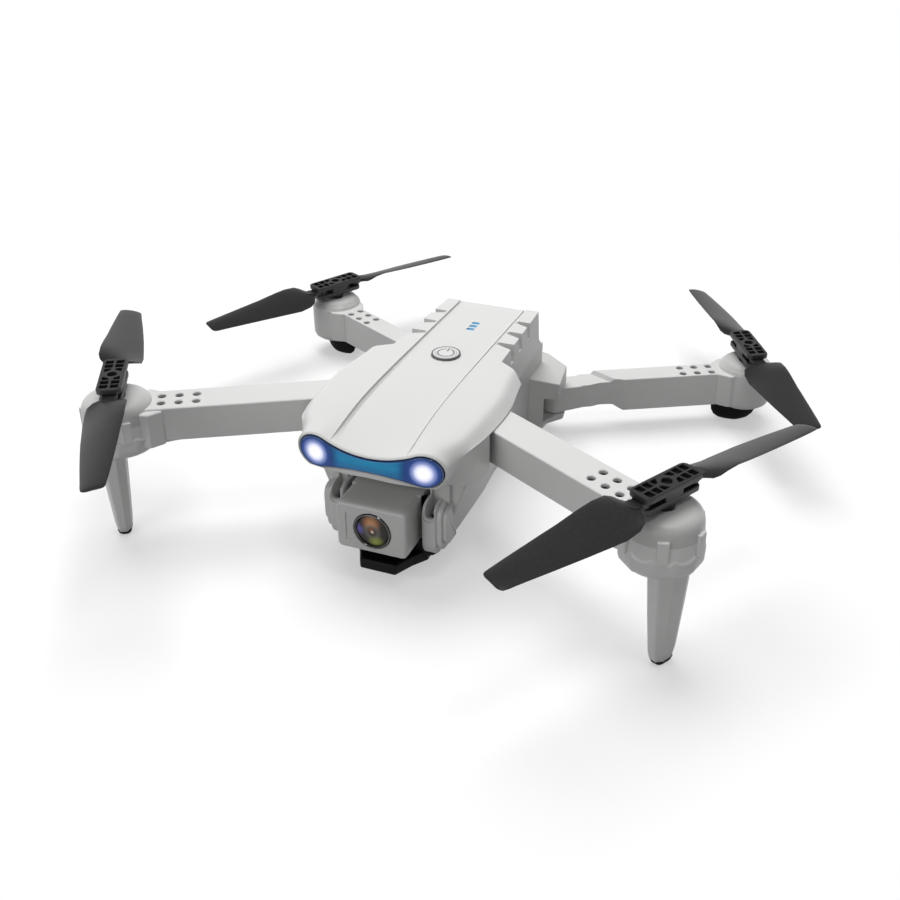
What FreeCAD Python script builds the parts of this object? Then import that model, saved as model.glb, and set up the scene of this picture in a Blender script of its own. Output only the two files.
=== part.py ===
import FreeCAD, Part
import math
import os

from FreeCAD import Vector

# Folding camera drone.  Millimetres, +Z up, nose towards -Y.
# The origin is on the ground, in the middle of the four rotor axes.
# Left and right are the drone's own: left is +X.

# ---- stance ----
front_rotor_x = 87.5      # front rotor axes, each side of the middle
rear_rotor_x = 86.5
rotor_y = 75.2            # rotor axes, fore and aft of the middle
front_prop_top = 58.7     # top of the front blade clamps above the ground
rear_prop_top = 32.0

# ---- clearances ----
running_gap = 0.05        # radial gap of every turning fit
fold_gap = 0.3            # over and under a folding arm
trim_gap = 0.15           # round a lens, a button or a cover

# ---- hull ----
wall = 1.5
hull_bottom = 8.0
seam_z = 36.5             # lower shell meets upper shell, and the deck under the front arms
rim_z = 48.9              # underside of the eaves over the front arms
channel_front = -53.0     # the side channels that the front arms fold into
channel_gap = 0.4         # folded front arm to the wall of its channel
tail_half = 17.4
tail_front = -21.4
tail_rear_top = 31.8
tail_ledge = (33.2, 40.4)  # the rear face turns outwards below this point: y, height
tail_rear_low = 39.0
tail_top_front = 53.2     # top of the tail, level as far back as the power button
tail_top_rear = 51.6
chevron_outer = (28.6, -22.5)
chevron_inner = (tail_half, -12.0)
# stations of the upper shell: y, half width, height at the shoulders, dip in the middle
upper_stations = [
    (-75.0, 25.4, 52.6, 4.5),
    (-70.0, 27.0, 52.9, 2.5),
    (-61.0, 29.2, 53.2, 0.8),
    (-50.0, 30.8, 53.3, 0.1),
    (-36.0, 31.2, 53.4, 0.0),
    (-12.0, 29.6, 53.2, 0.0),
]
nose_rise = 1.9           # lower edge of the nose above the seam
nose_rise_start = -61.0
crease_half = 12.0        # half width of the sunk strip along the top
strip_depth_front = 0.8
strip_depth_rear = 0.3
# stations of the lower shell: y, half width at the bottom, half width at the seam
lower_stations = [
    (-60.0, 15.8, 26.0),
    (-48.0, 17.0, 28.4),
    (-24.0, 17.0, 27.4),
    (-8.0, 16.4, tail_half),
    (28.0, 16.4, tail_half),
]
cavity_half = 15.0        # inside of the hull, wall to wall
cavity_front = -49.6

# ---- tail teeth ----
tooth_tips_y = (-1.0, 8.7, 18.4)
tooth_mouth = 6.0         # width of a notch at the side wall
tooth_rake = 2.2          # how far a notch's mouth trails its tip
tooth_depth_x = 3.8
tooth_depth_z = 3.0

# ---- light bar ----
lobe_x = 17.5
lobe_z = 45.1
lobe_r = 5.6
waist_z = 44.3
waist_half = 2.05
bar_front = -76.2
bar_depth = 2.4
led_r = 2.9
led_depth = 4.0

# ---- camera ----
camera_pivot_y = -60.8
camera_pivot_z = 22.0
camera_drum_r = 8.0
camera_half = 11.6
camera_face_y = -75.6
camera_face_low = 13.2
camera_face_high = 29.4
camera_corner = 1.6
lens_x = 0.4
lens_z = 21.2
lens_ring_r = 6.2
lens_r = 4.4
pivot_r = 1.6
ear_gap = 1.6             # camera side to ear
ear_outer_x = 18.0
ear_r = 7.0
ear_high = 36.4
ear_steps = [(19.6, 6.0), (20.8, 5.0)]   # outer face and radius of each step on an ear
drum_room = 1.6           # round the camera's drum

# ---- belly ----
belly_low = 3.6
belly_half = 12.6
belly_front = -72.4
belly_rear = -34.0
belly_prow = [(6.2, belly_front), (9.4, -65.5), (belly_half, -60.8)]   # the tray's left edge in plan
flow_lens_y = -44.0
flow_lens_r = 3.0

# ---- power button and lights ----
button_y = -13.7
button_r = 3.5
button_top = 53.2
button_skirt = 1.0
bezel_r = 4.8
bezel_rise = 0.5
button_travel = 0.5
status_y = (9.0, 11.7, 14.4)
status_size = (2.4, 1.5)
status_low = 48.4

# ---- inside ----
board_z = 32.2
board_t = 1.2
switch_height = 1.6
board_half = 14.6
board_front = -49.0
board_rear = 27.0
battery_half = 14.2
battery_low = 9.8
battery_high = 29.4
battery_front = -24.0
battery_cap_front = 33.0
battery_cap_rear = 39.3

# ---- front arms ----
front_hinge = (24.0, -39.5)
front_arm_half = 6.4
front_arm_low = seam_z + fold_gap
front_arm_high = rim_z - fold_gap
front_pin_r = 1.6
front_barrel_r = 12.3
front_barrel_low = 35.0
front_barrel_high = 44.6
front_cap_r = 9.8
front_cap_high = 51.2
front_cap_base_r = 11.8
leg_out = 3.9             # middle of the leg beyond the rotor axis, along the arm
leg_low = 1.4
# stations of a leg: height, half size along the arm, half size across it
leg_stations = [
    (front_barrel_low + 2.0, 3.8, 5.5),
    (18.0, 3.0, 4.9),
    (4.4, 2.2, 3.8),
    (leg_low, 1.9, 2.5),
]
foot_low_r = 2.1

# ---- rear arms ----
rear_hinge = (22.0, 40.6)
rear_arm_half = 4.6
rear_arm_low = 8.6
rear_arm_high = 21.8
tongue_low = 9.2
tongue_high = 20.4
waist_low = 11.0          # underside of the tongue at its slimmest
waist_in = 10.0
step_in = 16.8            # the slim tongue grows into the full arm between these, on top
step_out = 18.4
step_low_in = 21.5        # and underneath
step_low_out = 25.5
rear_fold = 98.0          # how far a rear arm folds, in degrees
rear_barrel_r = 10.2
rear_barrel_low = 7.6
rear_barrel_high = 22.6
rear_cap_r = 8.4
rear_cap_high = 25.0
pad_out = 3.0             # middle of the foot pad, inboard of the rotor axis
pad_half_length = 9.0
pad_half_width = 4.4
housing_low = 7.0
housing_roof_low = 26.8   # outer edge of the roof
housing_roof_slope = 0.16
# left hinge block in plan, from the tail's side wall round the outside
housing_front = (tail_half, 24.0)
housing_corner = (27.9, 26.6)
housing_outer = (26.4, 41.5)
housing_rear = 46.6
rear_pin_r = 1.5
screw_r = 1.1
screw_head_r = 1.9
tray_screw = (8.0, -54.5)
housing_screw = (18.2, 31.0)

# ---- holes in the arms' tops ----
vent_r = 1.15
vent_pitch = 5.5
vent_side = 2.4
vent_first = 13.9         # from the rotor axis to the nearest pair

# ---- motors ----
motor_r = 4.2
motor_length = 12.4
shaft_r = 0.75
shaft_in_motor = 2.0

# ---- propellers ----
blade_rest_angle = 61.2   # blades at rest, from the line across the drone
tip_radius = 60.6
front_blade_droop = 2.6   # tip below root
rear_blade_droop = 1.7
pin_out = 9.6             # blade pin from the rotor axis
clamp_half_length = 12.4
clamp_half_width = 3.9
plate_t = 1.8
blade_root_t = 1.7
blade_gap = 0.1           # over and under a blade root
collar_r = 3.3
collar_drop = 2.2
blade_pin_r = 0.8
root_r = 2.6
# stations of a blade: distance from its pin, trailing edge, leading edge, pitch in degrees, thickness
blade_stations = [
    (5.2, 2.5, 2.7, 2.0, 1.6),
    (10.0, 7.5, 6.8, 23.0, 1.4),
    (24.0, 6.2, 6.3, 18.0, 1.2),
    (tip_radius - pin_out, 2.3, 4.8, 12.0, 0.8),
]


# ---------------------------------------------------------------- helpers

def box(x0, x1, y0, y1, z0, z1):
    return Part.makeBox(x1 - x0, y1 - y0, z1 - z0, Vector(x0, y0, z0))


def cylinder(radius, x, y, z0, z1):
    return Part.makeCylinder(radius, z1 - z0, Vector(x, y, z0))


def cylinder_x(radius, x0, x1, y, z):
    return Part.makeCylinder(radius, x1 - x0, Vector(x0, y, z), Vector(1, 0, 0))


def cylinder_y(radius, y0, y1, x, z):
    return Part.makeCylinder(radius, y1 - y0, Vector(x, y0, z), Vector(0, 1, 0))


def plate(points, low, high):
    """An outline in plan, from height low to height high."""
    corners = [Vector(x, y, low) for x, y in points]
    face = Part.Face(Part.makePolygon(corners + corners[:1]))
    return face.extrude(Vector(0, 0, high - low))


def slab_x(points, x0, x1):
    """A side outline of (y, z) points, from x0 to x1."""
    corners = [Vector(x0, y, z) for y, z in points]
    face = Part.Face(Part.makePolygon(corners + corners[:1]))
    return face.extrude(Vector(x1 - x0, 0, 0))


def obround(half_length, half_width, low, high):
    """A bar along X with round ends."""
    middle = half_length - half_width
    bar = box(-middle, middle, -half_width, half_width, low, high)
    for x in (-middle, middle):
        bar = bar.fuse(cylinder(half_width, x, 0, low, high))
    return bar.removeSplitter()


def mirrored(shape):
    """The same piece on the right side."""
    return shape.mirror(Vector(0, 0, 0), Vector(1, 0, 0))


def both_sides(shape):
    return [shape, mirrored(shape)]


def cut_all(shape, tools):
    for tool in tools:
        shape = shape.cut(tool)
    return shape


def fuse_all(shapes):
    whole = shapes[0]
    for shape in shapes[1:]:
        whole = whole.fuse(shape)
    return whole.removeSplitter()


def turned(shape, degrees, x, y):
    """Turned about the vertical at the origin, then moved to x, y."""
    moved = shape.copy()
    moved.rotate(Vector(0, 0, 0), Vector(0, 0, 1), degrees)
    moved.translate(Vector(x, y, 0))
    return moved


def save(name, shape):
    shape.exportStep("parts/" + name + ".step")


def save_group(name, shapes):
    Part.makeCompound(shapes).exportStep("parts/" + name + ".step")


# ---------------------------------------------------------------- upper shell

def upper_section(station, inset):
    """Cross-section of the upper shell: flat sides and a crowned top that dips in the middle."""
    y, half, shoulder, dip = station
    half = half - inset
    low = seam_z - wall
    if inset > 0:
        low = seam_z + nose_rise + wall
    side_top = rim_z + 0.6 - inset
    crown = shoulder - inset - side_top
    top = []
    for step in range(13):
        reach = math.cos(math.pi * step / 12.0)
        rise = crown * (1.0 - abs(reach) ** 6) ** 0.5
        hollow = dip * max(0.0, 1.0 - (2.0 * reach) ** 2) ** 2
        top.append(Vector(half * reach, y, side_top + rise - hollow))
    curve = Part.BSplineCurve()
    curve.interpolate(top)
    right_low = Vector(half, y, low)
    left_low = Vector(-half, y, low)
    edges = [
        Part.LineSegment(left_low, right_low).toShape(),
        Part.LineSegment(right_low, top[0]).toShape(),
        curve.toShape(),
        Part.LineSegment(top[-1], left_low).toShape(),
    ]
    return Part.Wire(edges)


def lofted(wires):
    return Part.makeLoft(wires, True, False)


def cavity_roof():
    """Side outline of the room under the upper shell, from the channel's front wall to the tail."""
    start = channel_front - wall
    stop = tail_rear_top - 2 * wall
    roof_front = tail_top_front - strip_depth_front - wall - 0.6
    roof_rear = tail_top_rear - strip_depth_rear - wall
    return [
        (stop, seam_z - 1),
        (start, seam_z - 1),
        (start, roof_front - 0.6),
        (upper_stations[3][0], roof_front),
        (button_y, roof_front + 0.3),
        (stop, roof_rear),
    ]


def strip_cut():
    """Shallow sink along the middle of the top, fading towards the tail."""
    outline = []
    for y, half, shoulder, dip in upper_stations[:-1]:
        outline.append((y, shoulder - strip_depth_front))
    outline[0] = (upper_stations[0][0] - 1, outline[0][1])
    outline.append((button_y, tail_top_front - 0.5 * (strip_depth_front + strip_depth_rear)))
    outline.append((tail_rear_low, tail_top_rear - strip_depth_rear))
    outline += [(tail_rear_low, 60), (upper_stations[0][0] - 1, 60)]
    return slab_x(outline, -crease_half, crease_half)


def dumbbell(y0, y1, grow):
    """The light bar's outline: two round lobes and a slim waist."""
    x = lobe_x - 0.45 * lobe_r
    reach = lobe_r * math.sqrt(1.0 - 0.45 ** 2) + grow
    top_mid = Vector(0, y0, waist_z + waist_half + grow)
    low_mid = Vector(0, y0, waist_z - waist_half - grow)
    corners = [Vector(sx * x, y0, lobe_z + sz * reach) for sx, sz in ((-1, 1), (1, 1), (1, -1), (-1, -1))]
    edges = [
        Part.Arc(corners[0], top_mid, corners[1]).toShape(),
        Part.LineSegment(corners[1], corners[2]).toShape(),
        Part.Arc(corners[2], low_mid, corners[3]).toShape(),
        Part.LineSegment(corners[3], corners[0]).toShape(),
    ]
    bar = Part.Face(Part.Wire(edges)).extrude(Vector(0, y1 - y0, 0))
    for side in (-1, 1):
        bar = bar.fuse(cylinder_y(lobe_r + grow, y0, y1, side * lobe_x, lobe_z))
    return bar.removeSplitter()


def tail_block():
    """Square rear end of the shell."""
    outline = [
        (tail_front, seam_z),
        (tail_rear_low, seam_z),
        tail_ledge,
        (tail_rear_top, tail_top_rear),
        (button_y, tail_top_front),
        (tail_front, tail_top_front),
    ]
    return slab_x(outline, -tail_half, tail_half)


def tooth_notch(tip_y, side):
    mouth = tail_half + 0.5
    tip_x = tail_half - tooth_depth_x
    outline = [
        (side * tip_x, tip_y),
        (side * mouth, tip_y + tooth_rake),
        (side * mouth, tip_y + tooth_rake + tooth_mouth),
        (side * tip_x, tip_y + 0.8),
    ]
    return plate(outline, tail_top_rear - tooth_depth_z, tail_top_front + 1)


def channel_cut(side):
    """Room for a front arm to fold into, under the eaves."""
    far = 40.0
    wall_x = front_hinge[0] - front_arm_half - channel_gap
    front = [
        (side * wall_x, channel_front),
        (side * far, channel_front),
        (side * far, tail_front + 0.01),
        (side * wall_x, tail_front + 0.01),
    ]
    rear = [
        (side * tail_half, tail_front),
        (side * far, tail_front),
        (side * far, 0.0),
        (side * tail_half, 0.0),
    ]
    return [plate(front, seam_z - 1, rim_z), plate(rear, seam_z - 1, rim_z)]


def chevron_cut(side):
    far = 40.0
    outline = [
        (side * chevron_inner[0], chevron_inner[1]),
        (side * chevron_outer[0], chevron_outer[1]),
        (side * far, chevron_outer[1] + 1.0),
        (side * far, chevron_inner[1] + 1.0),
        (side * chevron_inner[0], chevron_inner[1] + 1.0),
    ]
    return plate(outline, seam_z - 1, tail_top_front + 5)


def under_nose():
    """Everything below the upper shell's lower edge."""
    front = upper_stations[0][0] - 1
    outline = [(front, 0), (50, 0), (50, seam_z), (nose_rise_start, seam_z), (front, seam_z + nose_rise)]
    return slab_x(outline, -50, 50)


def upper_shell():
    shell = lofted([upper_section(s, 0.0) for s in upper_stations]).cut(under_nose())
    shell = shell.fuse(tail_block())
    for side in (-1, 1):
        shell = cut_all(shell, channel_cut(side))
        shell = shell.cut(chevron_cut(side))
        for tip_y in tooth_tips_y:
            shell = shell.cut(tooth_notch(tip_y, side))
    nose_room = lofted([upper_section(s, wall) for s in upper_stations])
    nose_room = nose_room.common(box(-40, 40, -75.0 + wall, channel_front - wall, 0, 70))
    shell = shell.cut(nose_room)
    shell = shell.cut(slab_x(cavity_roof(), -cavity_half, cavity_half))
    shell = shell.cut(strip_cut())
    shell = shell.cut(dumbbell(-80.0, -75.0 + wall + 0.1, trim_gap))
    shell = shell.cut(cylinder(button_r + trim_gap, 0, button_y, 45, 60))
    for tool in status_lights(trim_gap):
        shell = shell.cut(tool)
    for pin in front_pins(running_gap):
        shell = shell.cut(pin)
    return shell.removeSplitter()


def front_pins(grow):
    x, y = front_hinge
    pin = cylinder(front_pin_r + grow, x, y, seam_z - 2.2 - grow, rim_z + 1.6 + grow)
    return both_sides(pin)


def rear_pins(grow):
    x, y = rear_hinge
    pin = cylinder(rear_pin_r + grow, x, y, housing_low + 0.6 - grow, tongue_high + fold_gap + 2.4 + grow)
    return both_sides(pin)


# ---------------------------------------------------------------- lower shell

def lower_section(station, inset):
    y, low_half, high_half = station
    low = hull_bottom + inset
    corners = [
        Vector(-(low_half - inset), y, low),
        Vector(low_half - inset, y, low),
        Vector(high_half - inset, y, seam_z),
        Vector(-(high_half - inset), y, seam_z),
    ]
    return Part.makePolygon(corners + corners[:1])


def ear(side):
    """Arm that carries one side of the camera."""
    inner = camera_half + ear_gap
    x0 = min(side * inner, side * ear_outer_x)
    x1 = max(side * inner, side * ear_outer_x)
    back = lower_stations[0][0] + 3
    shape = box(x0, x1, camera_pivot_y - ear_r, back, camera_pivot_z, ear_high)
    shape = shape.fuse(box(x0, x1, camera_pivot_y, back, camera_pivot_z - ear_r, ear_high))
    shape = shape.fuse(cylinder_x(ear_r, x0, x1, camera_pivot_y, camera_pivot_z))
    for reach, radius in ear_steps:
        s0 = min(side * inner, side * reach)
        s1 = max(side * inner, side * reach)
        shape = shape.fuse(cylinder_x(radius, s0, s1, camera_pivot_y, camera_pivot_z))
    return shape


def roof_height(x):
    return housing_roof_low + housing_roof_slope * (housing_corner[0] - x)


def rear_housing():
    """Left rear block that holds an arm's hinge, with a roof that falls outwards."""
    inner = tail_half - 4
    outline = [
        (inner, housing_front[1]),
        housing_front,
        housing_corner,
        housing_outer,
        (housing_outer[0] - 3, housing_rear),
        (inner + 3, housing_rear),
        (inner, tail_rear_low),
    ]
    block = plate(outline, housing_low, 45.0)
    near = inner - 1
    far = housing_corner[0] + 1
    roof = [
        Vector(near, 0, roof_height(near)),
        Vector(far, 0, roof_height(far)),
        Vector(far, 0, 60),
        Vector(near, 0, 60),
    ]
    roof_cut = Part.Face(Part.makePolygon(roof + roof[:1])).extrude(Vector(0, 80, 0))
    return block.cut(roof_cut)


def tongue_slot():
    """Space that the left rear arm's tongue swings through, from folded to open."""
    x, y = rear_hinge
    low = tongue_low - fold_gap
    high = tongue_high + fold_gap
    eye = rear_arm_half + fold_gap
    folded = math.radians(rear_angle() - rear_fold)
    inner = (x + eye * math.sin(folded), y - eye * math.cos(folded))
    front = (inner[0] + 80 * math.cos(folded), inner[1] + 80 * math.sin(folded))
    outline = [inner, front, (90, front[1]), (90, y), (x, y)]
    slot = cylinder(eye, x, y, low, high).fuse(plate(outline, low, high))
    return slot.fuse(box(x - 3.2, 60, y - 1, 80, low, high))


def lower_shell():
    shell = Part.makeLoft([lower_section(s, 0.0) for s in lower_stations], True, True)
    tail = slab_x(
        [(27.0, hull_bottom), (tail_rear_low, hull_bottom), (tail_rear_low, seam_z), (27.0, seam_z)],
        -tail_half + 1.2,
        tail_half - 1.2,
    )
    shell = shell.fuse(tail)
    for housing in both_sides(rear_housing()):
        shell = shell.fuse(housing)
    for side in (-1, 1):
        shell = shell.fuse(ear(side))
    room_half = camera_half + ear_gap
    drum = cylinder_x(camera_drum_r + drum_room, -room_half, room_half, camera_pivot_y, camera_pivot_z)
    shell = shell.cut(drum)
    room_rear = tail_rear_low - 2 * wall
    room = box(-cavity_half, cavity_half, cavity_front, room_rear, battery_low - 0.3, seam_z + 1)
    mouth_half = battery_half + 0.4
    mouth = box(-mouth_half, mouth_half, 0, 60, battery_low - 0.3, battery_high + 1.1)
    shell = shell.cut(room).cut(mouth)
    for slot in both_sides(tongue_slot()):
        shell = shell.cut(slot)
    for ledge_side in (-1, 1):
        x0 = min(ledge_side * (cavity_half - 2), ledge_side * (cavity_half + 0.5))
        x1 = max(ledge_side * (cavity_half - 2), ledge_side * (cavity_half + 0.5))
        shell = shell.fuse(box(x0, x1, board_front, board_rear, battery_high + 1.2, board_z))
    for pin in front_pins(running_gap) + rear_pins(running_gap) + camera_pivots(running_gap):
        shell = shell.cut(pin)
    for screw in body_screws():
        shell = shell.cut(screw)
    for recess in both_sides(cylinder(screw_head_r + trim_gap, *housing_screw, 0, housing_low + 2.0)):
        shell = shell.cut(recess)
    shell = shell.cut(cylinder(flow_lens_r + trim_gap, 0, flow_lens_y, 0, battery_low))
    return shell.removeSplitter()


def belly_tray():
    """Dark tray under the nose, raked at the front."""
    outline = [
        (belly_front, hull_bottom),
        (belly_front + 0.8, belly_low + 0.8),
        (belly_front + 1.8, belly_low),
        (belly_rear - 4.0, belly_low),
        (belly_rear, hull_bottom),
    ]
    tray = slab_x(outline, -belly_half - 1, belly_half + 1)
    left = belly_prow + [(belly_half, belly_rear + 1)]
    tray = tray.common(plate(left + [(-x, y) for x, y in reversed(left)], 0, 20))
    recess = cylinder(screw_head_r + trim_gap, *tray_screw, 0, belly_low + 1.6)
    tray = cut_all(tray, both_sides(recess) + body_screws())
    return tray.cut(cylinder(flow_lens_r + trim_gap, 0, flow_lens_y, 0, 20))


def body_screws():
    """Two screws up through the tray and two up into the rear blocks."""
    screws = []
    for (x, y), low, high in ((tray_screw, belly_low + 0.5, 12.6), (housing_screw, housing_low + 0.9, 19.0)):
        head = cylinder(screw_head_r, x, y, low, low + 1.1)
        screws += both_sides(head.fuse(cylinder(screw_r, x, y, low, high)).removeSplitter())
    return screws


# ---------------------------------------------------------------- lights, button, inside

def status_lights(grow):
    dx, dy = status_size
    lights = []
    for y in status_y:
        half_x = dx / 2 + grow
        half_y = dy / 2 + grow
        lights.append(box(-half_x, half_x, y - half_y, y + half_y, status_low, status_low + 3.2))
    return lights


def headlight_leds():
    y0 = bar_front + bar_depth + 0.1
    return [cylinder_y(led_r, y0, y0 + led_depth, side * lobe_x, lobe_z) for side in (-1, 1)]


def power_button():
    roof = tail_top_front - strip_depth_front - wall - 0.3
    skirt_high = roof - 3 * trim_gap
    skirt_low = skirt_high - 0.9
    cap = cylinder(button_r, 0, button_y, skirt_high, button_top)
    skirt = cylinder(button_r + button_skirt, 0, button_y, skirt_low, skirt_high)
    stem = cylinder(1.4, 0, button_y, board_z + board_t + switch_height + 0.7, skirt_low)
    return fuse_all([cap, skirt, stem])


def button_bezel():
    strip_top = tail_top_front - 0.5 * (strip_depth_front + strip_depth_rear)
    ring = cylinder(bezel_r, 0, button_y, strip_top, strip_top + bezel_rise)
    return ring.cut(cylinder(button_r + trim_gap, 0, button_y, 0, 60))


def control_board():
    board = box(-board_half, board_half, board_front, board_rear, board_z, board_z + board_t)
    return board


def board_parts():
    """Power switch, processor, radio, and the four motor plugs."""
    top = board_z + board_t
    parts = [
        box(-3, 3, button_y - 3, button_y + 3, top, top + switch_height),
        box(-5, 5, -38, -28, top, top + 1.4),
        box(-4, 4, 2, 10, top, top + 1.2),
    ]
    for side in (-1, 1):
        for y in (-44, 20):
            parts.append(box(side * 10 - 2.5, side * 10 + 2.5, y - 2, y + 2, top, top + 2.2))
    return parts


def battery_pack():
    return box(-battery_half, battery_half, battery_front, battery_cap_front, battery_low, battery_high)


def battery_cap():
    half = battery_half + 0.1
    cap = box(-half, half, battery_cap_front, battery_cap_rear, battery_low, battery_high + 0.6)
    grip = box(-6, 6, battery_cap_rear - 1.0, battery_cap_rear + 1, battery_low + 6, battery_low + 10)
    port = box(-4.2, 4.2, battery_cap_rear - 3, battery_cap_rear + 1, battery_low + 13.4, battery_low + 16.6)
    return cap.cut(grip).cut(port)


# ---------------------------------------------------------------- camera

def camera_housing():
    half = camera_half
    drum = cylinder_x(camera_drum_r, -half, half, camera_pivot_y, camera_pivot_z)
    outline = [
        (camera_pivot_y, camera_pivot_z - camera_drum_r),
        (camera_pivot_y - 2.0, camera_face_low),
        (camera_face_y + 0.8, camera_face_low),
        (camera_face_y, camera_face_low + 0.8),
        (camera_face_y, camera_face_high - 0.8),
        (camera_face_y + 0.8, camera_face_high),
        (camera_pivot_y - 2.0, camera_face_high),
        (camera_pivot_y, camera_pivot_z + camera_drum_r),
    ]
    body = drum.fuse(slab_x(outline, -half, half)).removeSplitter()
    corners = [e for e in body.Edges if e.BoundBox.YLength < 0.01 and e.BoundBox.YMin < camera_face_y + 0.01
               and e.BoundBox.XLength < 0.01]
    body = body.makeFillet(camera_corner, corners)
    body = body.cut(cylinder_y(lens_ring_r, camera_face_y - 1, camera_face_y + 6, lens_x, lens_z))
    for pivot in camera_pivots(running_gap):
        body = body.cut(pivot)
    return body


def camera_lens_ring():
    ring = cylinder_y(lens_ring_r, camera_face_y - 0.5, camera_face_y + 6, lens_x, lens_z)
    return ring.cut(cylinder_y(lens_r, camera_face_y - 2, camera_face_y + 4.5, lens_x, lens_z))


def camera_lens():
    glass = cylinder_y(lens_r, camera_face_y + 1.5, camera_face_y + 4.5, lens_x, lens_z)
    radius = 9.0
    centre = Vector(lens_x, camera_face_y + 0.2 + radius, lens_z)
    front = Part.makeSphere(radius, centre)
    neck = cylinder_y(lens_r, camera_face_y - 1, camera_face_y + 1.5, lens_x, lens_z)
    return glass.fuse(neck.common(front)).removeSplitter()


def camera_pivots(grow):
    pins = []
    for side in (-1, 1):
        x0 = min(side * (camera_half - 3), side * (ear_outer_x - 2))
        x1 = max(side * (camera_half - 3), side * (ear_outer_x - 2))
        pins.append(cylinder_x(pivot_r + grow, x0 - grow, x1 + grow, camera_pivot_y, camera_pivot_z))
    return pins


# ---------------------------------------------------------------- arms, in a frame with the hinge at the origin

def front_reach():
    return math.hypot(front_rotor_x - front_hinge[0], -rotor_y - front_hinge[1])


def front_angle():
    return math.degrees(math.atan2(-rotor_y - front_hinge[1], front_rotor_x - front_hinge[0]))


def rear_reach():
    return math.hypot(rear_rotor_x - rear_hinge[0], rotor_y - rear_hinge[1])


def rear_angle():
    return math.degrees(math.atan2(rotor_y - rear_hinge[1], rear_rotor_x - rear_hinge[0]))


def vents(reach, high):
    holes = []
    for row in range(3):
        for side in (-1, 1):
            out = reach - vent_first - row * vent_pitch
            holes.append(cylinder(vent_r, out, side * vent_side, high - 2, high + 1))
    return holes


def leg_section(station, x):
    """Eight-sided section of a leg."""
    z, along, across = station
    plan = [
        (along, 0.5 * across), (0.55 * along, across), (-0.55 * along, across), (-along, 0.5 * across),
        (-along, -0.5 * across), (-0.55 * along, -across), (0.55 * along, -across), (along, -0.5 * across),
    ]
    corners = [Vector(x + u, v, z) for u, v in plan]
    return Part.makePolygon(corners + corners[:1])


def front_leg():
    return Part.makeLoft([leg_section(s, front_reach() + leg_out) for s in leg_stations], True, True)


def front_arm():
    reach = front_reach()
    half = front_arm_half
    arm = box(0, reach - 6, -half, half, front_arm_low, front_arm_high)
    eye = cylinder(half, 0, 0, front_arm_low, front_arm_high)
    barrel = cylinder(front_barrel_r, reach, 0, front_barrel_low + 2.5, front_barrel_high)
    skirt = Part.makeCone(front_barrel_r - 2.2, front_barrel_r, 2.5, Vector(reach, 0, front_barrel_low))
    arm = fuse_all([arm, eye, barrel, skirt, front_leg()])
    channel = box(half + 2, reach, -half + wall, half - wall, front_arm_low + wall, front_arm_high - wall)
    pocket_low = front_motor_top() - motor_length
    pocket = cylinder(motor_r, reach, 0, pocket_low, 60)
    floor_z = front_barrel_low + 2.5 + wall
    ring_room = cylinder(front_barrel_r - wall, reach, 0, floor_z, front_barrel_high - 1.2)
    sleeve = cylinder(motor_r + wall, reach, 0, floor_z, front_barrel_high - 1.2)
    arm = cut_all(arm, [ring_room.cut(sleeve), channel.cut(sleeve), pocket] + vents(reach, front_arm_high))
    cap_seat = cylinder(front_cap_base_r + trim_gap, reach, 0, front_barrel_high, 60)
    arm = arm.cut(cap_seat)
    return arm.cut(cylinder(front_pin_r + running_gap, 0, 0, 0, 60))


def front_motor_top():
    return front_cap_high - 2.6


def rear_motor_top():
    return rear_cap_high - 2.2


def pod_cap(reach, low, high, base_r, dome_r, top_motor):
    """Cap over a motor: a stepped skirt, a round shoulder and a shaft hole."""
    step = low + 0.42 * (high - low)
    skirt = cylinder(base_r, reach, 0, low, step)
    dome = cylinder(dome_r, reach, 0, step, high)
    rim = [e for e in dome.Edges if e.BoundBox.ZMin > high - 0.01]
    dome = dome.makeFillet(0.45 * (high - step), rim)
    cap = fuse_all([skirt, dome])
    cap = cap.cut(cylinder(motor_r, reach, 0, low - 1, top_motor))
    return cap.cut(cylinder(1.6, reach, 0, low, high + 1))


def motor(reach, high, length):
    can = cylinder(motor_r, reach, 0, high - length, high)
    return can.cut(cylinder(shaft_r + running_gap, reach, 0, high - shaft_in_motor, high + 1))


def front_foot():
    foot_x = front_reach() + leg_out
    tip = Part.makeCone(foot_low_r - 0.5, foot_low_r, 0.7, Vector(foot_x, 0, 0))
    return tip.fuse(cylinder(foot_low_r, foot_x, 0, 0.7, leg_low)).removeSplitter()


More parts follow.
